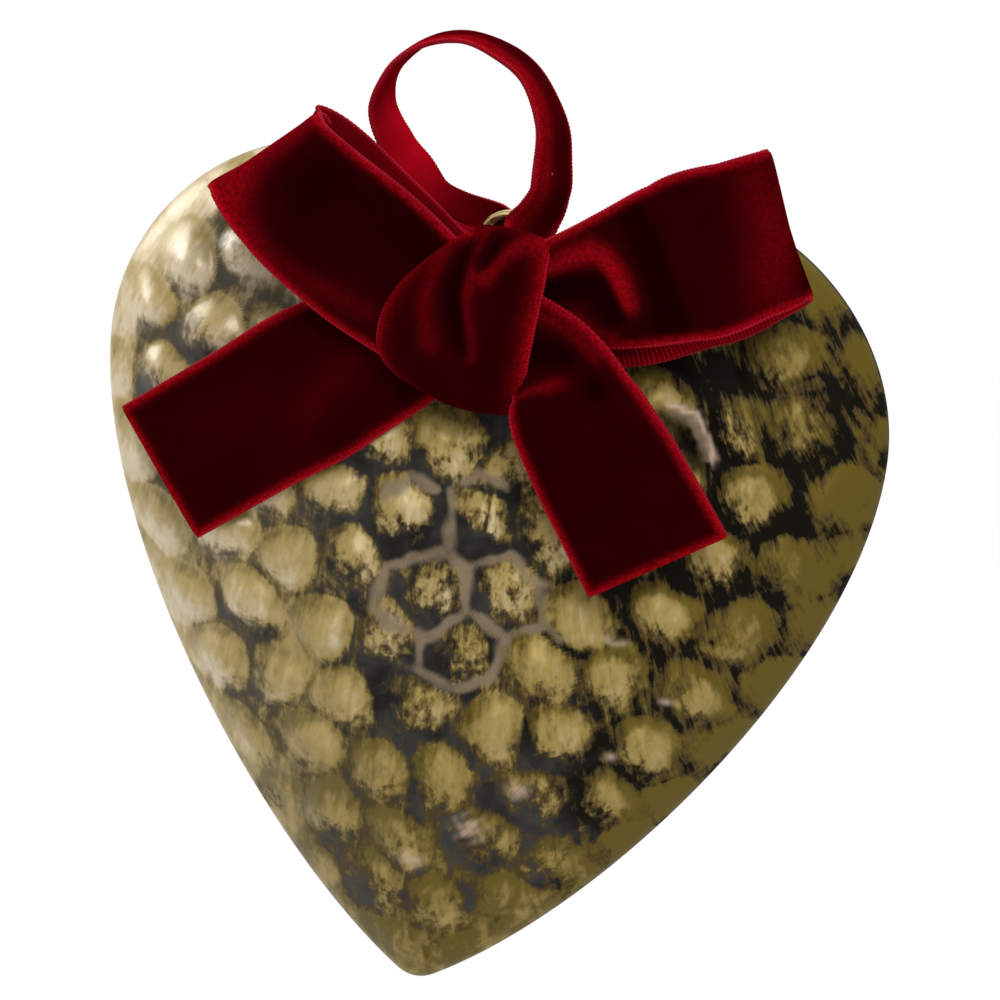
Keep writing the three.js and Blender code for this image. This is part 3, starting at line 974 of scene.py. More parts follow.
    def square_grid(self) -> tuple[Array, Array]:
        """Concentric squares of points, laid on the heart from its crown to its rim.

        A point's ring is the larger of its two distances from the middle, and its share of the outline is its
        place round the square, clockwise from the middle of the top.

        Returns:
            The share of the way to the rim and the share of the outline, for each point of the grid.
        """
        half = self.cells // 2
        line = np.arange(-half, half + 1) / half
        b, a = np.meshgrid(line, line, indexing="ij")
        ring = np.maximum(np.abs(a), np.abs(b))
        safe = np.where(ring > 0, ring, 1)
        top, right, bottom = (b == ring), (a == ring), (b == -ring)
        place = np.select([top & (a >= 0), right, bottom, top],
                          [a / safe, 2 - b / safe, 4 - a / safe, 8 + a / safe], 6 + b / safe)
        return (1 - (1 - ring) ** self.crowding).ravel(), (place / 8 % 1).ravel()

    def regions(self, x: Array, z: Array) -> Fields:
        """Soft shares of the parts of a shell that are painted differently, by the brush and with painted
        light and shade.

        Args:
            x: Places out from the middle line.
            z: Heights above the tip.

        Returns:
            Shares from 0 to 1 of the west, east, low and upper parts, of the worn middle, which also takes a
            painted shadow of the bow, of a full strip low in the west and of a rubbed patch in the east.
        """
        return {
            "west": smoothstep(-x, 8, 42), "east": smoothstep(x, 12, 36),
            "low": smoothstep(-z, -52, -26), "upper": smoothstep(z, 40, 80),
            "middle": np.exp(-(np.hypot(x - 2, (z - 75) * 0.8) / 17) ** 4),
            "strip": smoothstep(-x, -2, 18) * (1 - smoothstep(-x, 20, 34)) * smoothstep(-z, -72, -45),
            "rubbed": np.exp(-((x - 36) ** 2 + (z - 86) ** 2) / 12**2)}

    def brushwork(self, x: Array, z: Array, margin: Array, bump: Fields,
                  part: Fields) -> Fields:
        """Values of the gold finish at each point.

        Each is a plain level plus weighted shares of the regions, the rim and the bump, and of a side of
        the bump. The paint thins on a bump's lower left side, partly by the dry brush and partly as a painted
        shade under the bump, and painted highlight and shade make a bump lighter on its right side, in the
        west on its lower side.

        Args:
            x: Places out from the middle line.
            z: Heights above the tip.
            margin: Distances to the rim.
            bump: The place among the bumps.
            part: Shares of the regions.

        Returns:
            How much paint the brush left, how far it drags in streaks, how pale the paint is with painted
            highlight, reflection and shade in it, how much it is mottled, how cool the patina is and how much
            gloss lies over all.
        """
        west, east, low, upper, middle = (part[k] for k in ("west", "east", "low", "upper", "middle"))
        dx, dz, chance, relief, spot = (bump[k] for k in ("dx", "dz", "chance", "relief", "spot"))
        near = np.sqrt(spot)
        # lean thins the paint on each bump's lower left side, partly the dry brush missing it and partly a
        # painted shade under the bump.
        lean = near * (0.6 * dx + dz) / 5
        # lit is painted highlight and shade across each bump: lighter on its right side, in the west on its
        # lower side.
        lit = near * ((1 - west) * dx - (0.25 + 0.75 * west) * dz) / 5
        edge = 1 - smoothstep(margin, *self.edge_band)
        nick = np.exp(-(margin / self.nick_width) ** 2) * np.sin(0.21 * z + 2 * np.sin(0.4 * z)) * east
        # Less paint in the middle: its wear, and a painted shadow of the bow over it.
        paint = 0.2 + 0.15 * west + 0.06 * low + 0.26 * part["strip"] - 0.17 * middle
        paint -= (0.04 + 0.12 * upper) * east
        paint += (0.55 - 0.22 * east) * edge + 0.42 * lean - 0.5 * nick
        paint += (0.58 + 0.5 * (chance - 0.5) - 0.12 * west - 0.3 * low) * spot**0.7
        drag = (0.2 + 0.3 * (1 - spot) + 0.6 * east * smoothstep(z, 25, 60)) * (1 - 0.7 * west)
        top = smoothstep(relief, 0.0, 0.6) * smoothstep(margin, self.plain_margin, self.full_margin)
        # Paler in the west, partly a painted reflection on the left flank.
        paint_tone_and_light = 0.3 + 0.4 * west + 0.12 * middle + (0.3 + 0.25 * east + 0.45 * part["rubbed"]) * top
        # Darker on the right, partly the paint's own olive and partly painted shade.
        paint_tone_and_light -= (0.35 + 0.15 * upper) * east
        # Painted highlight on the upper left lobe.
        paint_tone_and_light += 0.08 * smoothstep(-x, 15, 40) * smoothstep(z, 80, 105)
        # Painted highlight and shade from lit, painted shade at the right rim, darker towards the bottom, and
        # the rim band paler on the left and darker on the right by painted light and shade.
        paint_tone_and_light += ((0.4 + 0.3 * west) * lit - 0.35 * smoothstep(x, 34, 52) - 0.33 * low
                 + (0.22 - 0.3 * east) * edge)
        mottle = 0.9 + 0.6 * relief + 0.6 * middle - 0.5 * west + 0.5 * low
        cool = 0.4 + 0.3 * west + 0.25 * low - 0.6 * east
        gloss = (0.85 - 0.83 * smoothstep(x, -40, 10) + 0.1 * low * (1 - east)) * (1 - 0.6 * edge)
        return {"paint": paint, "drag": drag, "paint_tone_and_light": paint_tone_and_light, "mottle": mottle, "cool": cool, "gloss": gloss}

    def flaws(self, x: Array, z: Array) -> Fields:
        """Marks of wear, a torn ridge and a pit, with painted shade behind the torn leaf, and a few pale
        specks.

        Args:
            x: Places out from the middle line.
            z: Heights above the tip.

        Returns:
            Shares of raw, dark and ridge surface, with the painted shade behind the leaf in the dark share,
            and the height that the marks add.
        """
        ragged = 0.25 * np.sin(3.1 * x + 2.3 * z), 0.25 * np.sin(2.7 * z - 1.9 * x)
        torn = ridge_height(x + ragged[0], z + ragged[1], self.torn_edge, 1.0, 0.42)
        leaf = ridge_height(x + ragged[0], z + ragged[1], self.leaf, 1.0, 1.1)
        # Painted shade in the hollow behind the torn leaf, which the height also dents.
        behind = ridge_height(x, z, self.leaf_shade, 1.0, 1.2)
        pit = np.exp(-((x - self.pit[0]) ** 2 + (z - self.pit[1]) ** 2) / self.pit[2] ** 2)
        lip = ridge_height(x, z, self.pit_lip, 1.0, 0.5)
        pale_speck_share = np.zeros_like(x)
        for a, b, radius in self.specks:
            across = x + 4 * ragged[0] * (radius - 0.6) - a
            up = z + 4 * ragged[1] * (radius - 0.6) - b
            pale_speck_share += np.exp(-(across**2 / 1.8 + up**2) / radius**2)
        return {"raw": np.clip(0.8 * torn + 0.4 * lip + 0.7 * pale_speck_share, 0, 1),
                "dark": np.clip(0.9 * behind + 1.4 * pit, 0, 1), "ridge": 1.2 * leaf,
                "flaw": 0.35 * torn + 0.5 * leaf - 0.7 * behind - 0.8 * pit + 0.3 * lip + 0.1 * pale_speck_share}

    def surface(self, side: int) -> Surface:
        """Outer face with its bumps, a lip at the seam and a plain lining inside.

        Height over the seam is the depth times (1 - r to the fullness) to the roundness, where r is the share
        of the way from the crown to the rim, plus bumps and ridges, which fade out in a margin at the rim.

        Args:
            side: -1 for the front shell and 1 for the back one.

        Returns:
            The closed surface with the values that its finish reads.
        """
        rho, share = self.square_grid()
        rim = self.rim(share)
        x, z = rho * rim[:, 0], self.crown + rho * (rim[:, 1] - self.crown)
        outline = self.rim(np.arange(self.rim_samples) / self.rim_samples)
        margin = np.min(np.hypot(x[:, None] - outline[None, :, 0], z[:, None] - outline[None, :, 1]), axis=1)
        fade = smoothstep(margin, self.plain_margin, self.full_margin)
        bump, part = self.embossing(x, z), self.regions(x, z)
        wander = 0.5 + 0.5 * np.sin(0.9 * x + 1.3 * np.sin(0.7 * z)) * np.sin(0.8 * z + 1.1)
        bent = x + 0.35 * np.sin(1.1 * x + 0.7 * z), z + 0.35 * np.sin(0.9 * z - 0.6 * x + 1)
        ridge = np.max([ridge_height(*bent, path, 1.0, self.ridge_width) for path in self.ridges], axis=0)
        ridge *= fade
        ridge *= (0.7 + 0.5 * wander) * (side < 0)
        dome = self.depth * np.maximum(0, 1 - rho**self.fullness) ** self.roundness
        lift = self.bump_rise * bump["relief"] * (0.8 + 0.4 * bump["chance"]) * (1 - 0.5 * part["low"])
        lift += self.ridge_rise * ridge
        unmarked = dict.fromkeys(("raw", "dark", "ridge", "flaw"), np.zeros_like(x))
        marks = self.flaws(x, z) if side < 0 else unmarked
        lift = fade * (lift + 0.1 * (wander - 0.5)) + marks.pop("flaw")
        y = side * (self.half_gap + dome + lift)
        shades = marks | self.brushwork(x, z, margin, bump, part)
        shades["ridge"] = np.maximum(shades["ridge"], ridge)
        shades["dark"] = np.maximum(shades["dark"], 0.9 * smoothstep(rho, 0.9985, 1.0))
        stroke = x - self.brush_from[0], self.brush_from[1] - z
        uv = np.stack([np.arctan2(*stroke) * self.brush_fan, np.hypot(*stroke)], -1)
        return self.closed(side, np.stack([x, y, z], -1), shades, uv)

    def closed(self, side: int, outer: Array, shades: Fields, uv: Array) -> Surface:
        """Close an outer face by a lip and a plain lining, one wall inside it.

        The lining is the smooth dome on rings that shrink towards the crown, with a flat lid in the smallest.

        Args:
            side: -1 for the front shell and 1 for the back one.
            outer: Points of the outer face, on the square grid.
            shades: Named values of those points.
            uv: Two coordinates of those points.

        Returns:
            The closed surface.
        """
        n = self.cells + 1
        index = np.arange(n * n).reshape(n, n)
        loop = np.r_[index[0, :-1], index[:-1, -1], index[-1, :0:-1], index[:0:-1, 0]]
        around = len(loop)
        rho = 1 - (np.arange(self.lining_rings) / self.lining_rings)[:, None] ** self.crowding
        reach = rho * (1 - 2 * self.wall / self.width)
        deep = (self.depth - self.wall) * (1 - rho**self.fullness) ** self.roundness
        rings = np.stack([reach * outer[loop, 0], side * (self.half_gap + deep) + 0 * reach * outer[loop, 0],
                          self.crown + reach * (outer[loop, 2] - self.crown)], -1)
        rows = np.concatenate([loop[None], n * n + np.arange(self.lining_rings * around).reshape(-1, around)])
        after = np.roll(rows, -1, 1)
        lining = np.stack([rows[1:], after[1:], after[:-1], rows[:-1]], -1).reshape(-1, 4)
        points = np.concatenate([outer, rings.reshape(-1, 3)])
        faces = np.concatenate([grid_faces(n, n), lining, lid_faces(rows[-1])[:, ::-1]])
        spare = len(points) - n * n
        both = {key: np.r_[value, np.zeros(spare)] for key, value in shades.items()}
        return Surface(points, outward(points, faces), None, both, np.concatenate([uv, np.zeros((spare, 2))]))

    def build(self, stock: Stock) -> None:
        """Make both shells.

        Args:
            stock: Place and finishes.
        """
        for side, node in ((-1, "front_shell"), (1, "back_shell")):
            piece = make_piece(f"embossed_{node}", self.surface(side), stock.place, [stock.gold], Body.HEART)
            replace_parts(piece, node)


# Wire


@dataclass(frozen=True)
class HangingWire:
    """Wire eye in the cleft and the ring through it."""

    wire: float = 1.4
    ring_radius: float = 4.4
    ring_centre: float = 116.5
    ring_cut: float = 0.5
    eye_radius: float = 2.5
    eye_centre: float = 111.3
    cleft: float = 106.0
    leg_gap: float = 0.5
    leg_length: float = 8.0
    leg_spread: float = 3.4
    sides: int = 24
    ring_rows: int = 140
    eye_stations: int = 9
    eye_rows: int = 180

    def wired(self, path: Array) -> Surface:
        """Wire of one thickness along a path."""
        return tube(path, np.full(len(path), self.wire / 2), self.sides)

    def ring(self) -> Surface:
        """Open ring in the plane of the heart, a circle less its cut.

        Returns:
            The ring's surface.
        """
        half = self.ring_cut / 2 / self.ring_radius
        angle = np.linspace(half, 2 * math.pi - half, self.ring_rows)
        return self.wired(np.stack([self.ring_radius * np.cos(angle), 0 * angle,
                                    self.ring_centre + self.ring_radius * np.sin(angle)], -1))

    def eye(self) -> Surface:
        """Eye across the heart's thickness: up one leg, round the bore and down the other.

        Returns:
            The eye's surface.
        """
        leg = (self.wire + self.leg_gap) / 2
        neck = self.eye_centre - math.sqrt(self.eye_radius**2 - leg**2)
        start = math.asin(leg / self.eye_radius) + self.wire / self.eye_radius
        angle = start + np.linspace(0, 1, self.eye_stations) * 2 * (math.pi - start)
        loop = np.stack([0 * angle, -self.eye_radius * np.sin(angle),
                         self.eye_centre - self.eye_radius * np.cos(angle)], -1)
        front = np.array([(0, -self.leg_spread, self.cleft - self.leg_length),
                          (0, -leg, self.cleft - self.leg_length / 2),
                          (0, -leg, min(neck, self.cleft) - self.wire / 2), (0, -leg, neck - self.wire / 2)])
        stations = np.concatenate([front, loop, front[::-1] * [1, -1, 1]])
        return self.wired(catmull_rom(stations, np.linspace(0, 1, self.eye_rows)))

    def build(self, stock: Stock) -> None:
        """Make the ring and the eye.

        Args:
            stock: Place and finishes.
        """
        for name, surface, body, node in (("wire_ring", self.ring(), Body.RING, "jump_ring"),
                                          ("wire_eye", self.eye(), Body.EYE, "hanger_eye")):
            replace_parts(make_piece(name, surface, stock.place, [stock.brass], body), node)


# Velvet


@dataclass(frozen=True)
class Fold:
    """Ridge or valley in a ribbon.

    path holds corners as millimetres along the ribbon and across it from its middle, height is out of the
    pile's face, and width is how far the ridge spreads.
    """

    path: tuple
    height: float
    width: float


def folded(u: Array, v: Array, folds: tuple) -> Array:
    """Sum of the heights of folds at places u along and v across."""
    return sum((ridge_height(u, v, f.path, f.height, f.width) for f in folds), np.zeros(np.shape(u)))


def wrapped(front: Array, back: Array) -> Array:
    """Lay a grid of the front and one of the back round a ribbon's section, row by row."""
    return np.concatenate([front, back[:, ::-1]], 1).reshape(-1, *front.shape[2:])


def cloth_slots(rows: int, cols: int) -> Array:
    """Material slots of a wrapped grid's faces: pile on a row's first half and satin on its second."""
    return np.tile(np.repeat([Cloth.PILE.value, Cloth.SATIN.value], cols // 2), rows)


def beaded_threads(edges: list[tuple[Array, Array]], closed: bool) -> Surface:
    """Threads along edges: tubes whose radius swells once for each rib.

    The swelling is the size of a sine along the edge.

    Args:
        edges: Points of each edge with the length up to each of them.
        closed: Whether the threads return to their start.

    Returns:
        All threads as one surface.
    """
    parts, first = [], 0
    for edge, length in edges:
        fine = np.arange(0, length[-1], RIB_PITCH / 5)
        path = np.stack([np.interp(fine, length, edge[:, k]) for k in range(3)], -1)
        bead = np.abs(np.sin(math.pi * fine / RIB_PITCH))
        part = tube(path, THREAD_RADIUS * (0.75 + 0.25 * bead), THREAD_SIDES, closed)
        shade = bead if closed else np.r_[bead[0], bead, bead[-1]]
        parts.append((part.points, part.faces + first, np.repeat(shade, THREAD_SIDES)))
        first += len(part.points)
    points, faces, shade = (np.concatenate(x) for x in zip(*parts))
    return Surface(points, faces, None, {"bead": shade})


@dataclass(frozen=True)
class Ribbon:
    """Velvet ribbon carried along stations.

    A station is a middle point, a width direction across, a share of the width and the height of a cup.
    warmth lifts the pile all over, glows are painted sheen and shade on the pile, ribs is how far the back's
    ribs stand out, and dim darkens the back.
    """

    name: str
    node: str
    body: Body
    held: Held
    rests_on: tuple
    stations: Array
    across: Array
    share: Array
    cup: Array
    width: float
    thickness: float
    pile_side: int = 1
    closed: bool = False
    step: float = 0.5
    trial: int = 800
    edge_crowding: float = 0.35
    edge_thickness: float = 0.3
    edge_power: int = 14
    # Widths of the painted sheen along the edges and at the cut end.
    edge_glow: float = 0.8
    end_glow: float = 0.9
    waver: float = 0.12
    folds: tuple = ()
    glows: tuple = ()
    warmth: float = 0.0
    ribs: float = 1.0
    dim: float = 0.0

    def lines(self) -> Fields:
        """Middle line of the ribbon with its directions.

        Returns:
            Points, width directions, outward directions of the pile, shares, cups and lengths.
        """
        even = np.linspace(0, 1, self.trial)
        length = path_lengths(catmull_rom(self.stations, even, self.closed))
        want = np.linspace(0, length[-1], int(length[-1] / self.step), endpoint=not self.closed)
        t = np.interp(want, length, even)
        point = catmull_rom(self.stations, t, self.closed)
        along = directions(point, self.closed)
        side = catmull_rom(self.across, t, self.closed)
        side -= along * np.einsum("ij,ij->i", side, along)[:, None]
        side /= np.linalg.norm(side, axis=1)[:, None]
        form = catmull_rom(np.stack([self.share, self.cup, 0 * self.cup], -1), t, self.closed)
        return {"point": point, "side": side, "out": self.pile_side * np.cross(side, along),
                "share": form[:, 0], "cup": self.pile_side * form[:, 1], "length": want}

    def lay(self, line: Fields, v: Array) -> tuple[Array, Array]:
        """Millimetres along and across the ribbon, for places across from -1 to 1."""
        reach = line["share"][:, None] * self.width / 2 * v[None]
        return np.broadcast_to(line["length"][:, None], reach.shape), reach

    def lifted(self, line: Fields, v: Array) -> tuple[Array, Array]:
        """Middle sheet of the ribbon: the line plus the width direction times v, plus the cup and the folds.

        Args:
            line: The middle line and its directions.
            v: Places across from -1 to 1.

        Returns:
            Points of the sheet and the height of the folds there.
        """
        along, reach = self.lay(line, v)
        height = folded(along, reach, self.folds)
        wave = self.waver * np.sin(0.55 * along + 2.1 * v[None]) * (1 - 0.5 * np.abs(v[None]))
        rise = line["cup"][:, None] * (1 - v[None] ** 2) + height + wave
        flat = line["point"][:, None] + reach[..., None] * line["side"][:, None]
        return flat + rise[..., None] * line["out"][:, None], height

    def surface(self, line: Fields) -> Surface:
        """Sheet with a pile face and a satin back, rounded at its edges.

        Args:
            line: The middle line and its directions.

        Returns:
            The closed surface.
        """
        even = np.linspace(-1, 1, 2 * int(self.width / self.step / 2) + 1)
        v = np.sin(even * math.pi / 2) * self.edge_crowding + even * (1 - self.edge_crowding)
        sheet, height = self.lifted(line, v)
        full = np.sqrt(np.maximum(0, 1 - np.abs(v) ** self.edge_power))
        thick = self.thickness / 2 * (self.edge_thickness + (1 - self.edge_thickness) * full)
        out = line["out"][:, None] * thick[None, :, None]
        points = wrapped(sheet + out, sheet - out)
        rows, cols = len(sheet), 2 * len(v)
        faces = grid_faces(rows, cols, self.closed, True)
        slots = cloth_slots(len(faces) // cols, cols)
        along, reach = self.lay(line, v)
        # Painted sheen along the ribbon's edges and at its cut end.
        edge = np.exp(-(((line["share"][:, None] * self.width / 2 - np.abs(reach)) / self.edge_glow) ** 2))
        if not self.closed:
            lid = lid_faces(np.arange(cols))
            faces = np.concatenate([faces, lid, lid[:, ::-1] + (rows - 1) * cols])
            slots = np.r_[slots, np.full(2 * len(lid), Cloth.PILE.value)]
            edge = np.maximum(edge, np.exp(-(((line["length"][-1] - along) / self.end_glow) ** 2)))
        # Painted sheen and shade: the glows add to the heights of the folds in the sheen value.
        height = height + folded(along, reach, self.glows)
        # Painted shade on the back where the ribbon is gathered at the ring, and the back's dim level.
        gather_shade_and_dim = np.maximum(self.dim, (1 - smoothstep(line["share"], 0.45, 0.85)) * self.closed)
        shades = {"edge": wrapped(edge, edge), "fold_sheen_and_shade": wrapped(height, 0 * height) + self.warmth,
                  "gather_shade_and_dim": np.repeat(gather_shade_and_dim, cols), "ribs": np.full(len(points), self.ribs)}
        uv = np.stack([wrapped(along, along), wrapped(reach, reach)], -1)
        return Surface(points, outward(points, faces), slots, shades, uv)

    def build(self, stock: Stock) -> None:
        """Make the ribbon with a thread along each edge.

        Args:
            stock: Place and finishes.
        """
        line = self.lines()
        edges = [(self.lifted(line, np.array([v]))[0][:, 0], line["length"]) for v in (-1.0, 1.0)]
        piece = make_piece(self.name, self.surface(line), stock.place, stock.cloth, self.body)
        edge = make_piece(f"{self.name}_selvage", beaded_threads(edges, False), stock.place, [stock.thread],
                          self.body)
        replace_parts(piece, self.node)


@dataclass(frozen=True)
class Knot:
    """Band of the same ribbon, wrapped once round the middle of the bow and creased where it was drawn tight.

    left_edge and right_edge hold pairs of a share of the height and x on the front, and back_edges x behind.
    """

    height: float = 109.5
    depth: float = -21.05
    half_depth: float = 8.2
    half_height: float = 13.3
    fullness: float = 2.6
    thickness: float = 1.2
    warmth: float = 0.25
    around: int = 150
    over: int = 56
    creases: tuple = (
        Fold(((-0.1, 12.5), (-0.1, 10.6), (-0.7, 4.7), (0.6, -0.6), (1.4, -3.0)), -1.0, 1.3),
        Fold(((1.9, 13.0), (1.4, 8.6), (1.4, 3.6), (2.5, -0.6), (3.2, -4.0)), 0.65, 1.3),
        Fold(((4.0, 12.0), (3.9, 11.2), (2.8, 9.4)), -0.7, 1.1),
        Fold(((11.2, 12.6), (8.1, 12.2), (6.0, 10.6), (3.9, 7.4)), 0.8, 1.5),
        Fold(((-2.2, 12.0), (-4.2, 6.0), (-4.4, 2.0), (-3.0, -3.0)), 0.5, 1.8),
        Fold(((8.0, 7.5), (6.5, -1.0), (5.5, -8.0)), -0.3, 2.8),
    )
    left_edge: tuple = (
        (-1.0, -2.0), (-0.9, -4.6), (-0.78, -8.2), (-0.6, -10.8), (-0.4, -11.6), (-0.1, -11.4),
        (0.1, -10.7), (0.33, -9.3), (0.62, -6.2), (0.85, -3.2), (1.0, -0.8))
    right_edge: tuple = ((-1.0, 9.6), (-0.7, 10.6), (-0.35, 10.8), (0.1, 11.2), (0.55, 11.6), (1.0, 11.3))
    back_edges: tuple = (-5.0, 8.0)

    def sheet(self, inset: float) -> tuple[Array, Array, Array]:
        """Wrapped band as a grid round the bow and across the band.

        Round the bow the section is a squarish oval, across the band x runs from the left edge to the right
        one, the section draws in towards both edges, and the creases push it in or out.

        Args:
            inset: Distance inside the outer face.

        Returns:
            Points by turn and place across, the creases' height and the distance to the nearer edge.
        """
        turn = np.arange(self.around) / self.around * 2 * math.pi
        u = np.linspace(-1, 1, self.over)
        front, rise = (np.sign(f(turn)) * np.abs(f(turn)) ** (2 / self.fullness) for f in (np.cos, np.sin))
        facing = smoothstep(np.cos(turn), -0.5, 0.1)
        kernel = np.hanning(9) / np.hanning(9).sum()
        sides = []
        for edge, behind in zip((self.left_edge, self.right_edge), self.back_edges):
            x = np.interp(rise, *np.array(edge).T)
            x = np.convolve(np.r_[x[-4:], x, x[:4]], kernel, "valid")
            sides.append(facing * x + (1 - facing) * behind)
        left, right = sides
        x = left[:, None] + (right - left)[:, None] * (u[None] + 1) / 2
        pull = 1 - np.where(u < 0, 0.42, 0.2) * np.abs(u) ** 3
        squeeze = 1 - 0.07 * np.abs(u) ** 3
        y = front[:, None] * (self.half_depth * pull)[None]
        z = rise[:, None] * (self.half_height * squeeze)[None]
        height = folded(x, z, self.creases) * smoothstep(front, -0.1, 0.35)[:, None]
        size = np.hypot(front / self.half_depth, rise / self.half_height)
        out_y, out_z = front / self.half_depth / size, rise / self.half_height / size
        push = height - inset
        points = np.stack([x, self.depth - y - push * out_y[:, None],
                           self.height + z + push * out_z[:, None]], -1)
        edge = np.minimum(u[None] + 1, 1 - u[None]) / 2 * (right - left)[:, None]
        return points, height, edge

    def build(self, stock: Stock) -> None:
        """Make the knot and the threads along its two edges.

        Args:
            stock: Place and finishes.
        """
        outer, height, edge = self.sheet(0.0)
        inner, _, _ = self.sheet(self.thickness)
        points = wrapped(outer, inner)
        rows, cols = self.around, 2 * self.over
        # Painted sheen along the knot's edges, and painted sheen and shade on its creases with the warmth
        # lift.
        glow = np.exp(-edge / 0.9)
        shades = {"edge": wrapped(glow, glow), "fold_sheen_and_shade": wrapped(height + self.warmth, 0 * height),
                  "gather_shade_and_dim": np.zeros(len(points)), "ribs": np.ones(len(points))}
        faces = outward(points, grid_faces(rows, cols, True, True))
        uv = np.stack([points[:, 2], points[:, 0]], -1)
        band = Surface(points, faces, cloth_slots(rows, cols), shades, uv)
        piece = make_piece("velvet_knot", band, stock.place, stock.cloth, Body.HEART)
        paths = [(outer[:, column] + inner[:, column]) / 2 for column in (0, -1)]
        rounds = [np.r_[path, path[:1]] for path in paths]
        thread = beaded_threads([(r, path_lengths(r)) for r in rounds], True)
        threads = make_piece("velvet_knot_selvage", thread, stock.place, [stock.thread], Body.HEART)
        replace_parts(piece, "bow_knot")


@dataclass(frozen=True)
class Bow:
    """Velvet bow at the cleft: two loops, two tails and a knot.

    A station of a route is the offset from the knot's middle sideways and upwards, the lift above the dome's
    crown, the tilt of the width in degrees and the share of the full width. gathers, tucks and soft are folds
    of the cloth, and turned, brushed, even and calm are painted sheen and shade on the pile, brighter or
    darker.
    """

    knot_height: float = 109.5
    crown: float = 18.15
    width: float = 22.0
    thickness: float = 1.2
    back_dim: float = 0.7
    left_loop: tuple = (
        (-5.3, 1, 5.5, 60, 0.9), (-15.1, 7.5, 8, 57, 1), (-23.8, 12.8, 8.5, 52, 0.97),
        (-29.2, 16.5, 7.4, 46, 0.91), (-31.4, 18.4, 5.4, 42, 0.9), (-31.8, 18.5, 3.6, 42, 0.9),
        (-31, 17.2, 1.8, 42, 0.91), (-27, 15.3, 1, 47, 0.97), (-14.4, 7, 2.2, 58, 1),
        (-5.4, 0.9, 2.6, 62, 0.97))
    right_loop: tuple = (
        (6, 3.5, 4.4, 108, 0.5), (20.5, 9, 6, 108, 0.85), (29.7, 13.8, 8.5, 110, 1),
        (38.4, 18.2, 7.4, 113, 1),
        (42.3, 20.2, 5.9, 114, 0.98), (43.5, 20.8, 3.8, 114, 0.96), (42.3, 19.6, 1.7, 113, 0.97),
        (38, 16.3, 0.4, 112, 1), (30, 11.2, 0.3, 111, 1), (21.7, 6.2, 0.8, 110, 0.9), (8, 2, 1.5, 112, 0.6))
    left_tail: tuple = (
        (-5.5, -1.5, -0.2, 126, 0.9), (-18.9, -12.2, 0.3, 127, 1), (-31.1, -21.9, 0.2, 124, 1),
        (-44.5, -32.7, -1.6, 118, 1))
    right_tail: tuple = (
        (4, 1.5, 5.2, 64, 0.5), (14.9, -3.9, 8.6, 52, 0.7), (18.8, -9.6, 9, 36, 0.88),
        (24.4, -18.1, 7, 33, 0.97), (32.8, -30.5, 5, 46, 1))
    gathers: tuple = (
        Fold(((5, 3.0), (8, 3.8), (11.6, 4.8), (14.6, 5.0), (16.6, 3.6), (17.8, 0.6), (18.2, -3.4)),
             1.25, 2.2),
        Fold(((4, 0.2), (10.2, 0.4), (13.6, -0.4), (14.6, -4)), -1.3, 1.9),
        Fold(((3, -3), (9, -4.6), (14, -7.4)), 0.8, 1.8), Fold(((22.4, 8), (23, 1), (22.4, -8)), -1.0, 2.8))
    tucks: tuple = (
        Fold(((4, 3), (9, 5), (14, 6)), 0.7, 1.6), Fold(((6, -2), (12, 1.5), (18, 4)), -0.9, 1.8),
        Fold(((13, -6), (14.5, -2), (15, 2)), 0.8, 1.7))
    soft: tuple = (Fold(((0, 2), (12, 1), (24, -3)), 0.2, 3.5),)
    # Painted sheen and shade on the pile: turned and brushed at the loops' turned ends and gathers, even and
    # calm over the tails.
    turned: tuple = (
        Fold(((31, -9), (34, -2), (34, 9)), 1.4, 5.5), Fold(((6, -6), (14, -8), (24, -10)), 0.7, 3.5),
        Fold(((6, 2), (24, 2)), -0.35, 8.0))
    brushed: tuple = (
        Fold(((38, -8), (41, 0), (41, 8)), 0.6, 5.0), Fold(((10, -2), (16, 0)), 0.4, 4.0),
        Fold(((26, 0), (44, 0)), 0.25, 9.0))
    even: tuple = (Fold(((0, 0), (60, 0)), 0.3, 14.0),)
    calm: tuple = (Fold(((0, 0), (60, 0)), 0.12, 14.0),)

    def ribbon(self, label: str, route: tuple, pile_side: int, held: Held, folds: tuple, glows: tuple,
               dim: float = 0.0) -> Ribbon:
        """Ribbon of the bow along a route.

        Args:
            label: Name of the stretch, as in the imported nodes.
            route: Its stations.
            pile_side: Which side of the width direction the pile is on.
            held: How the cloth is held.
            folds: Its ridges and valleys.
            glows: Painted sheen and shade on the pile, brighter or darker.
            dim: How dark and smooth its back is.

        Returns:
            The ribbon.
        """
        x, z, lift, tilt, share = np.array(route, float).T
        turn = np.radians(tilt)
        return Ribbon(
            f"velvet_{label}", f"bow_{label}", Body.HEART, held, ("embossed_front_shell",),
            stations=np.stack([x, -(self.crown + lift), self.knot_height + z], -1),
            across=np.stack([np.cos(turn), 0 * turn, np.sin(turn)], -1), share=share, cup=0 * share,
            width=self.width, thickness=self.thickness, pile_side=pile_side, folds=folds, glows=glows,
            ribs=1 - dim, dim=dim)

    def build(self, stock: Stock) -> None:
        """Make the bow's ribbons and its knot.

        Args:
            stock: Place and finishes.
        """
        for piece in (
            self.ribbon("loop_left", self.left_loop, 1, Held.FOLDED, self.soft, self.turned, self.back_dim),
            self.ribbon("loop_right", self.right_loop, -1, Held.FOLDED, self.gathers, self.brushed),
            self.ribbon("tail_left", self.left_tail, 1, Held.LAID, self.soft, self.even),
            self.ribbon("tail_right", self.right_tail, -1, Held.LAID, self.tucks, self.calm),
            Knot(),
        ):
            piece.build(stock)


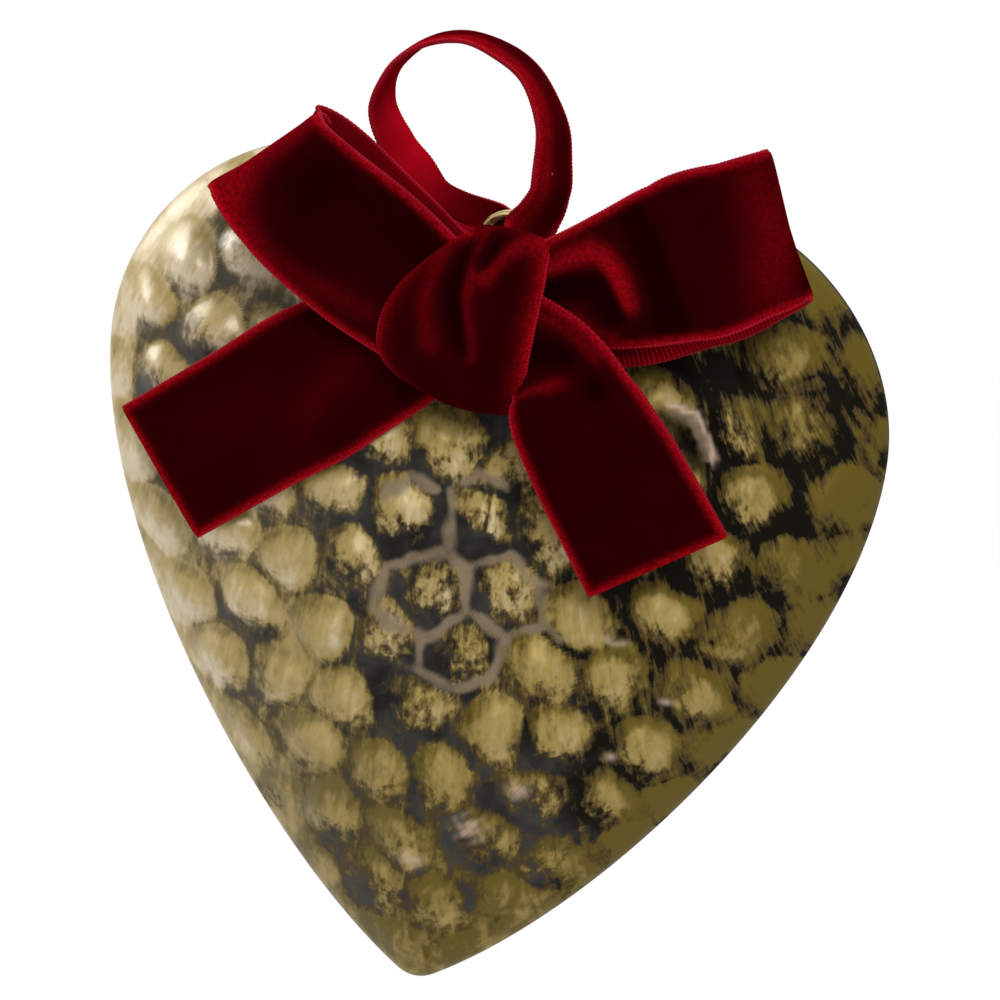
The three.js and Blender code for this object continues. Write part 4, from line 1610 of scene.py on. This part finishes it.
@dataclass(frozen=True)
class HangingLoop:
    """Narrow velvet ribbon gathered under the ring's top, its right strand in front and its left behind.

    A station of the route is the offset from the ring's top, the width direction and the share of the width.
    The stations at the ring are offsets in units of hug, with a width direction.
    """

    width: float = 10.0
    thickness: float = 1.0
    step: float = 0.4
    ring_top: float = 120.9
    ring_radius: float = 4.4
    hug: float = 1.55
    gather: float = 0.4
    route: tuple = (
        (2.2, -3.3, -2.4, 0.97, 0.2, -0.1, 0.65), (4.3, -2.9, 0.9, 0.66, 0.75, 0, 0.85),
        (5.5, -2.3, 4.6, 0.34, 0.93, -0.1, 1), (5.1, -1.3, 9, 0.3, 0.95, 0, 1),
        (4, -0.5, 14.3, 0.2, 0.98, -0.05, 1), (-0.1, 0, 20.7, 0.07, 1, 0, 1),
        (-5.2, 0, 23.7, -0.05, 1, 0.04, 1), (-10.6, 0, 24.7, -0.15, 1, 0, 1),
        (-16.4, 0, 23, -0.19, 0.98, -0.08, 1), (-20.9, 0, 18.2, -0.12, 0.98, -0.13, 1),
        (-22, 0.3, 12.8, 0.08, 1, -0.03, 1), (-19.1, 1, 7.4, 0.2, 0.97, 0.1, 0.95),
        (-16, 1.8, 4.3, 0.25, 0.95, 0.15, 0.8), (-12.8, 2.6, 0.9, 0.3, 0.92, 0.2, 0.65),
        (-8.8, 3.1, -0.9, 0.2, 0.75, 0.6, 0.55), (-3.7, 3.3, -1.9, 0.15, 0.5, 0.85, 0.5))
    ring_front: tuple = (0.2, -1.35, -1.9, 1, 0, 0)
    ring_back: tuple = (-0.9, 1.25, -1.35, 0.75, 0.1, 0.6)
    # Painted sheen in a strip along the pile.
    brushed: tuple = (Fold(((3, -3), (60, -3)), 0.9, 2.2),)

    def build(self, stock: Stock) -> None:
        """Make the loop, cupped under the ring by the sag of the ring's own curve.

        Args:
            stock: Place and finishes.
        """
        sag = self.ring_radius - math.sqrt(self.ring_radius**2 - (self.gather * self.width / 2) ** 2)
        units = [self.hug] * 3 + [1] * 3
        front, back = (np.array(place, float) * units for place in (self.ring_front, self.ring_back))
        free = np.array(self.route)
        places = np.vstack([(0, 0, -self.hug - sag, 1, 0, 0), front, free[:, :6], back])
        tight = np.full(len(places), self.gather)
        tight[2:2 + len(free)] = free[:, 6]
        cup = np.zeros(len(places))
        cup[0] = -sag
        Ribbon("velvet_hanging_loop", "hanging_loop", Body.HANGER, Held.HUNG, ("wire_ring",),
               stations=places[:, :3] + [0, 0, self.ring_top],
               across=places[:, 3:] / np.linalg.norm(places[:, 3:], axis=1)[:, None], share=tight, cup=cup,
               width=self.width, thickness=self.thickness, closed=True, step=self.step, glows=self.brushed,
               warmth=0.5, ribs=0.15).build(stock)


# Studio


@dataclass(frozen=True)
class Lamp:
    """Soft square light: its offset from the aim, its side in millimetres, its watts and its colour."""

    name: str
    offset: tuple
    size: float
    watts: float
    tint: tuple


@dataclass(frozen=True)
class Studio:
    """Camera at the photograph's angle, soft light from the front, the left and behind, and a white floor."""

    aim: tuple = (3.52, 0.0, 77.82)
    azimuth: float = math.radians(12.74)
    elevation: float = math.radians(15.23)
    roll: float = math.radians(7.476)
    distance: float = 545.3
    view_angle: float = math.radians(15.638)
    floor_drop: float = 12.0
    floor_half: float = 4.0
    sky: float = 0.3
    lamps: tuple = (Lamp("key", (160, -480, 340), 240, 3.0, (1.0, 0.98, 0.95)),
                    Lamp("window", (-520, 60, 200), 260, 2.4, (0.97, 0.98, 1.0)),
                    Lamp("rim", (60, 260, 460), 300, 2.2, (1.0, 0.98, 0.96)))

    def target(self, place: Placement) -> Vector:
        """Point that the camera and the lamps look at, in metres."""
        return Vector(place.metres(np.array(self.aim)).tolist())

    def camera(self, place: Placement) -> None:
        """Make the camera.

        Args:
            place: Where the heart's frame lies.
        """
        az, el = self.azimuth, self.elevation
        back = Vector((math.sin(az) * math.cos(el), -math.cos(az) * math.cos(el), math.sin(el)))
        level = Vector((math.cos(az), math.sin(az), 0))
        right = level * math.cos(self.roll) + back.cross(level) * math.sin(self.roll)
        axes = Matrix((right, back.cross(right), back)).transposed().to_4x4()
        data = bpy.data.cameras.new("camera")
        data.angle = self.view_angle
        data.clip_start = 0.01
        camera = bpy.data.objects.new("camera", data)
        camera.matrix_world = Matrix.Translation(self.target(place) + back * self.distance * MM) @ axes
        bpy.context.scene.collection.objects.link(camera)
        bpy.context.scene.camera = camera

    def light(self, lamp: Lamp, place: Placement) -> None:
        """Add a lamp that looks at the ornament.

        Args:
            lamp: The lamp.
            place: Where the heart's frame lies.
        """
        data = bpy.data.lights.new(lamp.name, "AREA")
        data.size, data.energy, data.color = lamp.size * MM, lamp.watts, lamp.tint
        made = bpy.data.objects.new(lamp.name, data)
        at = Vector(lamp.offset) * MM
        turn = at.to_track_quat("Z", "Y").to_matrix().to_4x4()
        made.matrix_world = Matrix.Translation(self.target(place) + at) @ turn
        bpy.context.scene.collection.objects.link(made)

    def seen(self, graph: Graph) -> Socket:
        """Tell the rays that look at the background from those that carry light.

        Args:
            graph: The graph to add the test to.

        Returns:
            A socket that is 1 for camera, glossy and transmission rays.
        """
        path = graph.node("ShaderNodeLightPath").outputs
        mirrored = graph.math("MAXIMUM", path["Is Glossy Ray"], path["Is Transmission Ray"])
        return graph.math("MAXIMUM", path["Is Camera Ray"], mirrored)

    def world(self) -> None:
        """White behind the object and soft grey light all round."""
        world = bpy.data.worlds.new("studio")
        bpy.context.scene.world = world
        world.use_nodes = True
        graph = Graph(world.node_tree)
        graph.dress(world.node_tree.nodes["Background"], {
            "Strength": graph.spread(self.seen(graph), 0, 1, self.sky, 1.0), "Color": (1, 1, 1, 1)})

    def floor(self, place: Placement) -> None:
        """White floor a little below the tip, which still takes a faint shadow.

        Args:
            place: Where the heart's frame lies.
        """
        low, half = place.offset[2] - self.floor_drop * MM, self.floor_half
        mesh = bpy.data.meshes.new("floor")
        corners = [(x * half, y * half, low) for x, y in ((-1, -1), (1, -1), (1, 1), (-1, 1))]
        mesh.from_pydata(corners, [], [(0, 1, 2, 3)])
        floor = bpy.data.objects.new("floor", mesh)
        bpy.context.scene.collection.objects.link(floor)
        material, graph, shader = new_material("floor_white")
        here = graph.here()
        graph.dress(shader, {"Base Color": (0.85, 0.85, 0.85, 1), "Roughness": 0.9,
                             "Normal": graph.bump(graph.noise(here, 300, 2), 0.00005, 0.2)})
        away = graph.node("ShaderNodeVectorMath", operation="LENGTH")
        graph.feed(away.inputs[0], here)
        white = graph.spread(away.outputs["Value"], 0.2, 0.6, 0.9, 1.0)
        blend = graph.node("ShaderNodeMixShader")
        for index, value in enumerate((graph.math("MULTIPLY", self.seen(graph), white), shader.outputs[0],
                                       graph.node("ShaderNodeEmission").outputs[0])):
            graph.feed(blend.inputs[index], value)
        out = next(n for n in material.node_tree.nodes if n.type == "OUTPUT_MATERIAL")
        graph.feed(out.inputs["Surface"], blend.outputs[0])
        mesh.materials.append(material)

    def build(self, place: Placement) -> None:
        """Set the camera, the lights, the world and the floor.

        Args:
            place: Where the heart's frame lies.
        """
        bpy.context.scene.view_settings.view_transform = "Standard"
        self.camera(place)
        for lamp in self.lamps:
            self.light(lamp, place)
        self.world()
        self.floor(place)


def main() -> None:
    """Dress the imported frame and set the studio."""
    logging.basicConfig(level=logging.INFO)
    place = Placement.from_frame()
    Studio().build(place)
    wear = cloth_wear()
    brass = DrawnWire("brass_wire", (0.75, 0.6, 0.3, 1), (0.4, 0.28, 0.1, 1), 0.22)
    solder = DrawnWire("dull_solder", (0.3, 0.3, 0.29, 1), (0.12, 0.12, 0.12, 1), 0.45).make()
    stock = Stock(place, AntiqueGold().make(), brass.make(), [Velvet().make(wear), RibbedSatin().make(wear)],
                  Selvage().make(wear))
    for old in bpy.data.objects["seam_solder"].material_slots:
        old.material = solder
    for assembly in (HeartShells(), HangingWire(), Bow(), HangingLoop()):
        assembly.build(stock)


if __name__ == "__main__":
    main()
